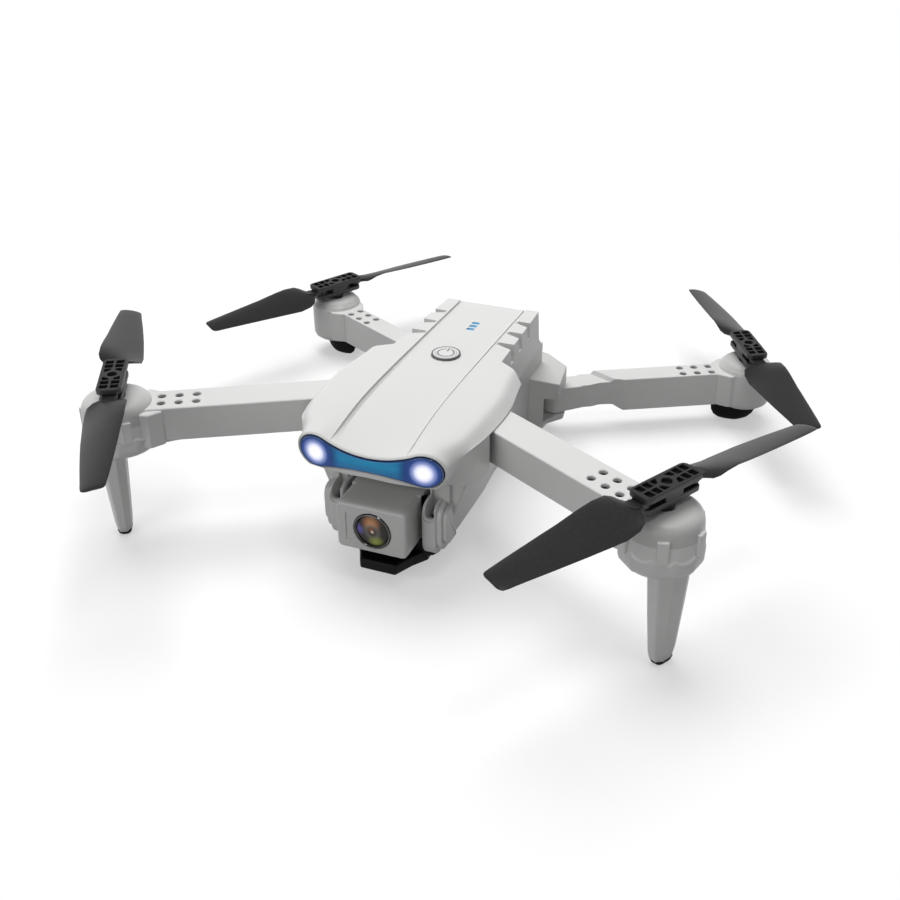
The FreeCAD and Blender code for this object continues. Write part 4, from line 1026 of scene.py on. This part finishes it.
def front_arm():
    """Front arm, barrel, clip lugs and leg as one moulding."""
    beam = rounded([(-6.4, 36.85), (6.4, 36.85), (6.4, FRONT_ARM_TOP), (-6.4, FRONT_ARM_TOP)], 0.7, 3)
    hinge = -FRONT_REACH
    stations = ((hinge - 4.0, 2.2), (hinge - 2.0, 0.6), (hinge, 0.0), (-40.0, 0.0), (-20.0, 0.0), (-6.0, 0.0))
    rings = [[(u, v, z) for v, z in inset(beam, shrink)] for u, shrink in stations]
    arm = loft("front_arm_moulding", rings, 35)
    parts = [front_barrel()]
    for angle in (13, 73, 133, -47, -107, -167):
        lug = block("lug", 10.4, 12.25, -1.6, 1.6, 39.6, 46.9, 0.35, 0.4)
        parts.append(shift(lug, Matrix.Rotation(math.radians(angle), 4, "Z")))
    under = rounded([(-24.0, 36.9, 0.3), (-10.5, 34.99, 1.6), (-2.0, 34.99, 0.3), (-2.0, 40.0, 0.3),
                     (-24.0, 40.0, 0.3)], 0.4, 4)
    parts.append(slab("fairing", under, -5.6, 5.6, 1.2, fore_aft, 4))
    clip = rounded([(-14.4, -6.9, 0.5), (-10.0, -9.4, 0.8), (-6.0, -8.0, 0.4), (-6.0, 8.0, 0.4),
                    (-10.0, 9.4, 0.8), (-14.4, 6.9, 0.5)], 0.6, 3)
    parts.append(slab("arm_shoulder", clip, 36.0, 48.0, 0.7, steps=4))
    join(arm, parts + [leg()])
    return work(arm, vent_tools(FRONT_ARM_TOP), sharp_degrees=30)


def front_cap():
    """Domed cap over the front motor, open round its shaft."""
    profile = [(2.9, 48.4), (2.9, 50.75), (3.4, 51.15), (6.9, 51.2), (7.8, 51.1), (8.9, 50.85), (9.7, 50.4),
               (10.35, 49.75), (10.85, 48.9), (11.1, 47.9), (11.25, 46.4), (11.35, 44.58), (2.9, 44.58)]
    return turned("front_cap", profile, steps=96, sharp_degrees=26)


def front_foot():
    """Rubber tip on the front leg."""
    stations = ((1.9, 2.35, 3.5), (0.9, 2.1, 3.1), (0.4, 1.7, 2.6), (0.1, 1.1, 1.9), (0.0, 0.5, 1.1))
    rings = []
    for z, along, broad in stations:
        corners = [(along, broad), (-along, broad), (-along, -broad), (along, -broad)]
        rings.append([(LEG_OUT + u, v, z) for u, v in rounded(corners, along * 0.95, 5)])
    return loft("front_foot", rings, 40)


def step_plan(at_back, at_front):
    """Plan of the tool that steps the tongue down, measured from the hinge, its end slanting over the arm."""
    plan = [(5.0, -7.0), (at_front, -7.0), (at_front, -4.6), (at_back, 4.6), (at_back, 7.0), (5.0, 7.0)]
    return [(x - REAR_REACH, y) for x, y in plan]


def rear_arm():
    """Rear arm with its slim tongue, barrel and neck as one moulding."""
    hinge = -REAR_REACH
    side = [(hinge + 21.5, 11.1, 0.5), (hinge + 25.5, 8.65, 0.6), (-5.0, 8.65, 0.1),
            (-5.0, REAR_ARM_TOP, 0.1), (hinge + 13.0, REAR_ARM_TOP, 0.3), (hinge + 9.0, 20.05, 0.3),
            (hinge, 19.5, 0.1), (hinge, 9.25, 0.1), (hinge + 10.0, 11.0, 1.0)]
    arm = slab("rear_arm_moulding", rounded(side, 0.5, 3), -4.6, 4.6, 0.5, fore_aft)
    rim = [(0, 9.25), (4.4, 9.25), (4.55, 9.45), (4.55, 19.3), (4.4, 19.5), (0, 19.5)]
    eye = turned("hinge_eye", rim, (hinge, 0, 0), 48)
    profile = [(0, 7.65), (7.4, 7.65), (8.7, 7.9), (9.6, 8.6), (10.05, 9.6), (10.15, 11.0), (10.15, 21.6),
               (10.05, 22.2), (9.7, 22.55), (0, 22.55)]
    barrel = turned("barrel", profile, steps=96, sharp_degrees=30)
    shoulder = rounded([(-12.1, -5.0, 0.4), (-8.0, -8.2, 2.0), (-4.0, -7.0, 0.4), (-4.0, 7.0, 0.4),
                        (-8.0, 8.2, 2.0), (-12.1, 5.0, 0.4)], 0.6, 5)
    join(arm, [eye, barrel, slab("arm_shoulder", shoulder, 9.0, 21.9, 0.5)])
    # the step up from the tongue runs slantwise over the arm, and the tongue's front side is hollowed
    step = loft("tongue_step", [[(x, y, 20.3) for x, y in step_plan(14.4, 21.3)],
                                [(x, y, 21.9) for x, y in step_plan(15.7, 22.6)]])
    hollow = [(26.0, -7.0), (26.0, -4.7), (20.0, -3.2), (16.5, -3.1), (11.5, -4.7), (11.5, -7.0)]
    hollow_tool = slab("tongue_hollow", [(hinge + x, y) for x, y in hollow], 5, 30, 0)
    return work(arm, vent_tools(REAR_ARM_TOP) + [step, hollow_tool], sharp_degrees=30)


def rear_cap():
    """Low cap over the rear motor, open round its shaft."""
    profile = [(2.9, 23.0), (2.9, 24.7), (3.3, 24.95), (6.0, 25.0), (7.4, 24.9), (8.2, 24.6), (8.7, 24.0),
               (9.2, 23.4), (9.7, 23.0), (9.9, 22.6), (2.9, 22.6)]
    return turned("rear_cap", profile, steps=96, sharp_degrees=30)


def rear_foot():
    """Boat-shaped pad, blunt outside and drawn out to a point towards the hinge."""
    rings = []
    for z, share in ((7.6, 1.0), (6.6, 1.0), (4.4, 0.97), (2.4, 0.86), (1.0, 0.68), (0.25, 0.46), (0.0, 0.3)):
        outline = []
        for k in range(40):
            a = 2 * math.pi * k / 40
            width = 4.4 * math.sin(a) * (1.0 if math.cos(a) > 0 else 0.55 + 0.45 * (1 + math.cos(a)))
            outline.append((-3.0 + 9.0 * math.cos(a) * share + 0.8 * (1 - share), width * share, z))
        rings.append(outline)
    return loft("rear_foot", rings, 50)


# ================================================================ propellers
# made round their shaft, blades along X

def clamp_plate(top):
    """Ribbed upper clamp: a raised rim, square pockets between ribs and a round well over the shaft."""
    corners = [(-11.1, -3.9, 2.2), (11.1, -3.9, 2.2), (11.1, 3.9, 2.2), (-11.1, 3.9, 2.2)]
    plate = slab("clamp_plate", rounded(corners, 2.2, 6), top - 1.8, top, 0.35)
    tools = [drill(1.55, 0, 0, top - 1.2, top, 0.15, 24)]
    for x in (-8.5, -5.7, 5.7, 8.5):
        for y in (-1.65, 1.65):
            pocket = [(x - 1.15, y - 1.3), (x + 1.15, y - 1.3), (x + 1.15, y + 1.3), (x - 1.15, y + 1.3)]
            tools.append(slab("pocket", rounded(pocket, 0.25, 2), top - 1.1, top + 1, 0))
    for s in (-1, 1):
        for t in (-1, 1):
            wedge = [(s * 1.5, t * 2.75), (s * 4.0, t * 2.75), (s * 4.0, t * 0.6), (s * 2.7, t * 0.8)]
            tools.append(slab("pocket", rounded(wedge, 0.25, 2), top - 1.1, top + 1, 0))
    return work(plate, tools, sharp_degrees=30)


def prop_hub(top, collar_foot):
    """Lower clamp, the spacer between the blade roots and the collar on the shaft."""
    lower = top - 3.7
    corners = [(-10.6, -3.5, 2.0), (10.6, -3.5, 2.0), (10.6, 3.5, 2.0), (-10.6, 3.5, 2.0)]
    hub = slab("prop_hub", rounded(corners, 2.0, 6), lower - 1.8, lower, 0.4)
    spacer = block("spacer", -3.5, 3.5, -3.3, 3.3, lower - 0.6, top - 1.82, 0.2, 0.6)
    collar = [(0, collar_foot + 0.05), (2.7, collar_foot + 0.05), (3.0, collar_foot + 0.3),
              (3.0, lower - 2.6), (3.4, lower - 1.6), (0, lower - 1.6)]
    return join(hub, [spacer, turned("collar", collar, steps=40)])


# from the pin: reach, trailing edge, leading edge, pitch in degrees, thickness
BLADE = [
    (1.4, -2.1, 2.1, 0.0, 1.55), (2.5, -2.3, 2.4, 0.0, 1.5), (3.3, -3.1, 3.2, 1.0, 1.4),
    (4.1, -4.8, 4.8, 4.0, 1.3), (5.3, -6.4, 6.0, 11.0, 1.3), (7.4, -7.2, 6.7, 18.5, 1.3),
    (12.0, -7.4, 6.9, 22.5, 1.25), (16.0, -7.0, 6.8, 21.0, 1.2), (20.0, -6.55, 6.55, 19.5, 1.15),
    (25.0, -6.0, 6.2, 17.5, 1.1), (31.0, -5.2, 5.95, 16.0, 1.0), (37.0, -4.35, 5.65, 14.5, 0.95),
    (42.0, -3.6, 5.4, 13.3, 0.9), (46.0, -3.0, 5.15, 12.5, 0.85), (48.6, -2.65, 4.95, 12.2, 0.8),
    (49.9, -2.3, 4.8, 12.0, 0.7), (50.5, -1.6, 4.4, 12.0, 0.55), (50.8, -0.6, 3.6, 12.0, 0.4),
]


def blade(middle, droop):
    """Thin cambered blade with a flat round root, leading edge towards +Y."""
    rings = []
    across_steps = 16
    for reach, trail, lead, pitch, thick in BLADE:
        sine, cosine = math.sin(math.radians(pitch)), math.cos(math.radians(pitch))
        drop = droop * max(0.0, reach - 5.2) / 45.6
        upper, lower = [], []
        for k in range(across_steps + 1):
            t = 0.5 - 0.5 * math.cos(math.pi * k / across_steps)
            v = trail + (lead - trail) * t
            camber = 0.35 * thick * 4 * t * (1 - t)
            body = 0.5 * thick * (4 * t * (1 - t)) ** 0.45
            for half, where in ((1, upper), (-1, lower)):
                h = camber * clamped((reach - 4) / 4) + half * max(body, 0.09)
                where.append((reach, v * cosine - h * sine, v * sine + h * cosine - drop))
        rings.append(upper + lower[::-1])
    piece = loft("blade", rings, 45)
    rim = [(0.85, -0.84), (2.4, -0.84), (2.55, -0.7), (2.55, 0.7), (2.4, 0.84), (0.85, 0.84)]
    knob = [(0, -0.5), (2.1, -0.5), (2.2, 0.74), (2.05, 0.86), (0, 0.86)]
    root = turned("root", rim, steps=36)
    join(piece, [root, turned("root_boss", knob, (3.0, 0, 0), steps=36)], 35)
    return shift(piece, Matrix.Translation(Vector((BLADE_PIN_OUT, 0, middle)) * MM))


def propeller(rotor, top, collar_foot, droop, lead, rest):
    """Both clamps and both blades of the left propeller, set down on its axis."""
    middle = top - 1.8 - 0.1 - 0.85
    made = {"prop_hub": prop_hub(top, collar_foot), "clamp_plate": clamp_plate(top),
            "blade_aft": blade(middle, droop), "blade_fore": blade(middle, droop)}
    shift(made["blade_fore"], Matrix.Scale(-1, 4, (1, 0, 0)) @ Matrix.Scale(-1, 4, (0, 1, 0)))
    for piece in made.values():
        if lead < 0:
            shift(piece, Matrix.Scale(-1, 4, (0, 1, 0)))
        place(piece, rest, *rotor)
    return made


# ================================================================ putting the drone together

def carry(node, material):
    """A CAD piece that keeps its shape gets its real finish."""
    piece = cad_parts[node]
    piece.data.materials.clear()
    piece.data.materials.append(material)
    smooth(piece, 30)


def both(end, kind, piece, body, finish_slot, material, stands_for_node=True):
    """Finishes the left piece and its mirror image on the right."""
    piece.name = f"{end}_left_{kind}_piece"
    right = twin(piece, f"{end}_right_{kind}_piece")
    for side, one in (("left", piece), ("right", right)):
        nodes = [f"{end}_{side}_{kind}"] if stands_for_node else []
        finish(one, f"{end}_{side}_{body}", finish_slot, material, *nodes)


finish(upper_shell(), "hull", "shell_grey", abs_shell, "upper_shell")
pane, rim = light_bar()
finish(pane, "hull", "bar_blue", bar_acrylic, "light_bar")
finish(rim, "hull", "bar_blue", bar_rim_acrylic)
finish(lower_shell(), "hull", "shell_grey", abs_lower, "lower_shell")
finish(belly_tray(), "hull", "black_plastic", abs_black, "belly_tray")
finish(camera_case(), "camera", "shell_grey", abs_camera, "camera_housing")
lens_ring, lens = lens_pieces()
finish(lens_ring, "camera", "lens_black", gloss_black, "camera_lens_ring")
finish(lens, "camera", "lens_glass", lens_glass, "camera_lens")

for end, rotor, angle, arm_top, arm, cap, foot, prop in (
    ("front", FRONT_ROTOR, FRONT_ANGLE, FRONT_ARM_TOP, front_arm(), front_cap(), front_foot(),
     propeller(FRONT_ROTOR, FRONT_PROP_TOP, FRONT_COLLAR_FOOT, 2.6, -1, BLADE_REST)),
    ("rear", REAR_ROTOR, REAR_ANGLE, REAR_ARM_TOP, rear_arm(), rear_cap(), rear_foot(),
     propeller(REAR_ROTOR, REAR_PROP_TOP, REAR_COLLAR_FOOT, 1.7, 1, 180 - BLADE_REST)),
):
    for piece in (arm, cap, foot):
        place(piece, angle, *rotor)
    both(end, "arm", arm, "arm", "shell_grey_arm", abs_arm)
    both(end, "pod_cap", cap, "arm", "pod_grey", abs_pod)
    both(end, "foot", foot, "arm", "rubber_black", foot_rubber)
    # the black sheet under the vent holes is painted shade
    shade_sheet = place(vent_shade_sheet(arm_top), angle, *rotor)
    both(end, "vent_shade_sheet", shade_sheet, "arm", "black_plastic", abs_black, stands_for_node=False)
    both(end, "prop_hub", prop["prop_hub"], "prop", "black_plastic", nylon_clamp)
    both(end, "clamp_plate", prop["clamp_plate"], "prop", "black_plastic", nylon_clamp)
    both(end, "blade_aft", prop["blade_aft"], "blade_aft", "blade_grey", blade_nylon)
    both(end, "blade_fore", prop["blade_fore"], "blade_fore", "blade_grey", blade_nylon)
    for side in ("left", "right"):
        carry(f"{end}_{side}_motor", motor_can)
        carry(f"{end}_{side}_prop_pins", pin_steel)

for node, material in (
    ("headlight_leds", white_lamp), ("status_lights", blue_lamp), ("button_bezel", bezel_gap_shadow),
    ("control_board", solder_mask), ("board_parts", chip_resin), ("flow_lens", gloss_black),
    ("front_hinge_pins", pin_steel), ("rear_hinge_pins", pin_steel), ("body_screws", screw_steel),
    ("camera_pivots", pin_steel), ("power_button", button_paint), ("battery_pack", battery_wrap),
    ("battery_cap", abs_lower),
):
    carry(node, material)


# ================================================================ studio

def pale_floor():
    """A matt floor that runs out to plain white and keeps a light shadow round the object."""
    reach = 6.0
    corners = [(-reach, -reach, 0), (reach, -reach, 0), (reach, reach, 0), (-reach, reach, 0)]
    floor_mesh = bpy.data.meshes.new("studio_floor")
    floor_mesh.from_pydata(corners, [], [(0, 1, 2, 3)])
    floor = bpy.data.objects.new("studio_floor", floor_mesh)
    bpy.context.scene.collection.objects.link(floor)
    material, tree, at = blank("pale_matt_floor")
    ray = add(tree, "ShaderNodeLightPath").outputs
    mirrored = add(tree, "ShaderNodeMath", {
        0: ray["Is Camera Ray"], 1: ray["Is Glossy Ray"]}, operation="MAXIMUM")
    direct = add(tree, "ShaderNodeMath", {
        0: mirrored.outputs[0], 1: ray["Is Transmission Ray"]}, operation="MAXIMUM")
    pale = add(tree, "ShaderNodeBsdfDiffuse", {"Color": colour("#FFFFFF")})
    dull = add(tree, "ShaderNodeBsdfDiffuse", {"Color": colour("#808080")})
    white = add(tree, "ShaderNodeEmission", {"Color": colour("#FFFFFF"), "Strength": 1.0})
    # the shadow fades out between 160 and 450 mm from the middle
    away = add(tree, "ShaderNodeVectorMath", {0: at}, operation="LENGTH")
    share = add(tree, "ShaderNodeMapRange", {
        "Value": away.outputs["Value"], "From Min": 0.16, "From Max": 0.45, "To Min": 0.45, "To Max": 1.0},
        interpolation_type="SMOOTHSTEP")
    seen = add(tree, "ShaderNodeMixShader", {
        0: share.outputs["Result"], 1: pale.outputs[0], 2: white.outputs[0]})
    choice = add(tree, "ShaderNodeMixShader", {0: direct.outputs[0], 1: dull.outputs[0], 2: seen.outputs[0]})
    add(tree, "ShaderNodeOutputMaterial", {"Surface": choice.outputs[0]})
    floor_mesh.materials.append(material)


def backdrop():
    """A white backdrop that stands round the object, with a darker studio above it."""
    world = bpy.data.worlds.new("studio")
    bpy.context.scene.world = world
    world.use_nodes = True
    tree = world.node_tree
    tree.nodes.clear()
    ray = add(tree, "ShaderNodeLightPath").outputs
    soft = add(tree, "ShaderNodeBackground", {"Color": colour("#FFFFFF"), "Strength": 0.26})
    white = add(tree, "ShaderNodeBackground", {"Color": colour("#FFFFFF"), "Strength": 1.0})
    through = add(tree, "ShaderNodeMath", {
        0: ray["Is Camera Ray"], 1: ray["Is Transmission Ray"]}, operation="MAXIMUM")
    towards = add(tree, "ShaderNodeTexCoord").outputs["Generated"]
    split = add(tree, "ShaderNodeSeparateXYZ", {"Vector": towards})
    low = add(tree, "ShaderNodeMapRange", {
        "Value": split.outputs["Z"], "From Min": 0.30, "From Max": 0.65, "To Min": 1.0, "To Max": 0.0},
        interpolation_type="SMOOTHSTEP")
    mirrored = add(tree, "ShaderNodeMath", {
        0: low.outputs["Result"], 1: ray["Is Glossy Ray"]}, operation="MULTIPLY")
    shown = add(tree, "ShaderNodeMath", {0: mirrored.outputs[0], 1: through.outputs[0]}, operation="MAXIMUM")
    choice = add(tree, "ShaderNodeMixShader", {0: shown.outputs[0], 1: soft.outputs[0], 2: white.outputs[0]})
    add(tree, "ShaderNodeOutputWorld", {"Surface": choice.outputs[0]})


def softbox(name, size, power, x, y, z):
    """A round lamp that looks at the middle of the object."""
    light = bpy.data.lights.new(name, "AREA")
    light.shape = "DISK"
    light.size = size
    light.energy = power
    holder = bpy.data.objects.new(name, light)
    holder.location = (x, y, z)
    holder.rotation_euler = (Vector((0, 0, 0.03)) - holder.location).to_track_quat("-Z", "Y").to_euler()
    bpy.context.scene.collection.objects.link(holder)
    return holder


def camera():
    """Seen from the front and a little to the drone's left, from well above it."""
    turn, lift, roll = math.radians(22.55), math.radians(29.90), math.radians(-0.81)
    standpoint = Vector((0.1348, -0.3441, 0.2260))
    back = Vector((math.sin(turn) * math.cos(lift), -math.cos(turn) * math.cos(lift), math.sin(lift)))
    right = Vector((math.cos(turn), math.sin(turn), 0))
    up = back.cross(right)
    level_right = right * math.cos(roll) + up * math.sin(roll)
    level_up = up * math.cos(roll) - right * math.sin(roll)
    lens = bpy.data.cameras.new("studio_camera")
    lens.sensor_width = 36.0
    lens.lens = 47.78
    lens.shift_x = 0.0106
    lens.shift_y = -0.014
    lens.clip_start = 0.01
    holder = bpy.data.objects.new("studio_camera", lens)
    holder.matrix_world = Matrix((
        (level_right.x, level_up.x, back.x, standpoint.x),
        (level_right.y, level_up.y, back.y, standpoint.y),
        (level_right.z, level_up.z, back.z, standpoint.z),
        (0, 0, 0, 1),
    ))
    bpy.context.scene.collection.objects.link(holder)
    bpy.context.scene.camera = holder


pale_floor()
backdrop()
softbox("overhead_softbox", 1.0, 14.6, -0.25, 0.32, 1.3).visible_glossy = False
softbox("front_fill", 1.0, 4.5, -0.55, -1.3, 0.55)
softbox("spot_highlight", 0.22, 1.4, 0.35, -0.25, 1.1)
camera()
bpy.context.scene.view_settings.view_transform = "Standard"
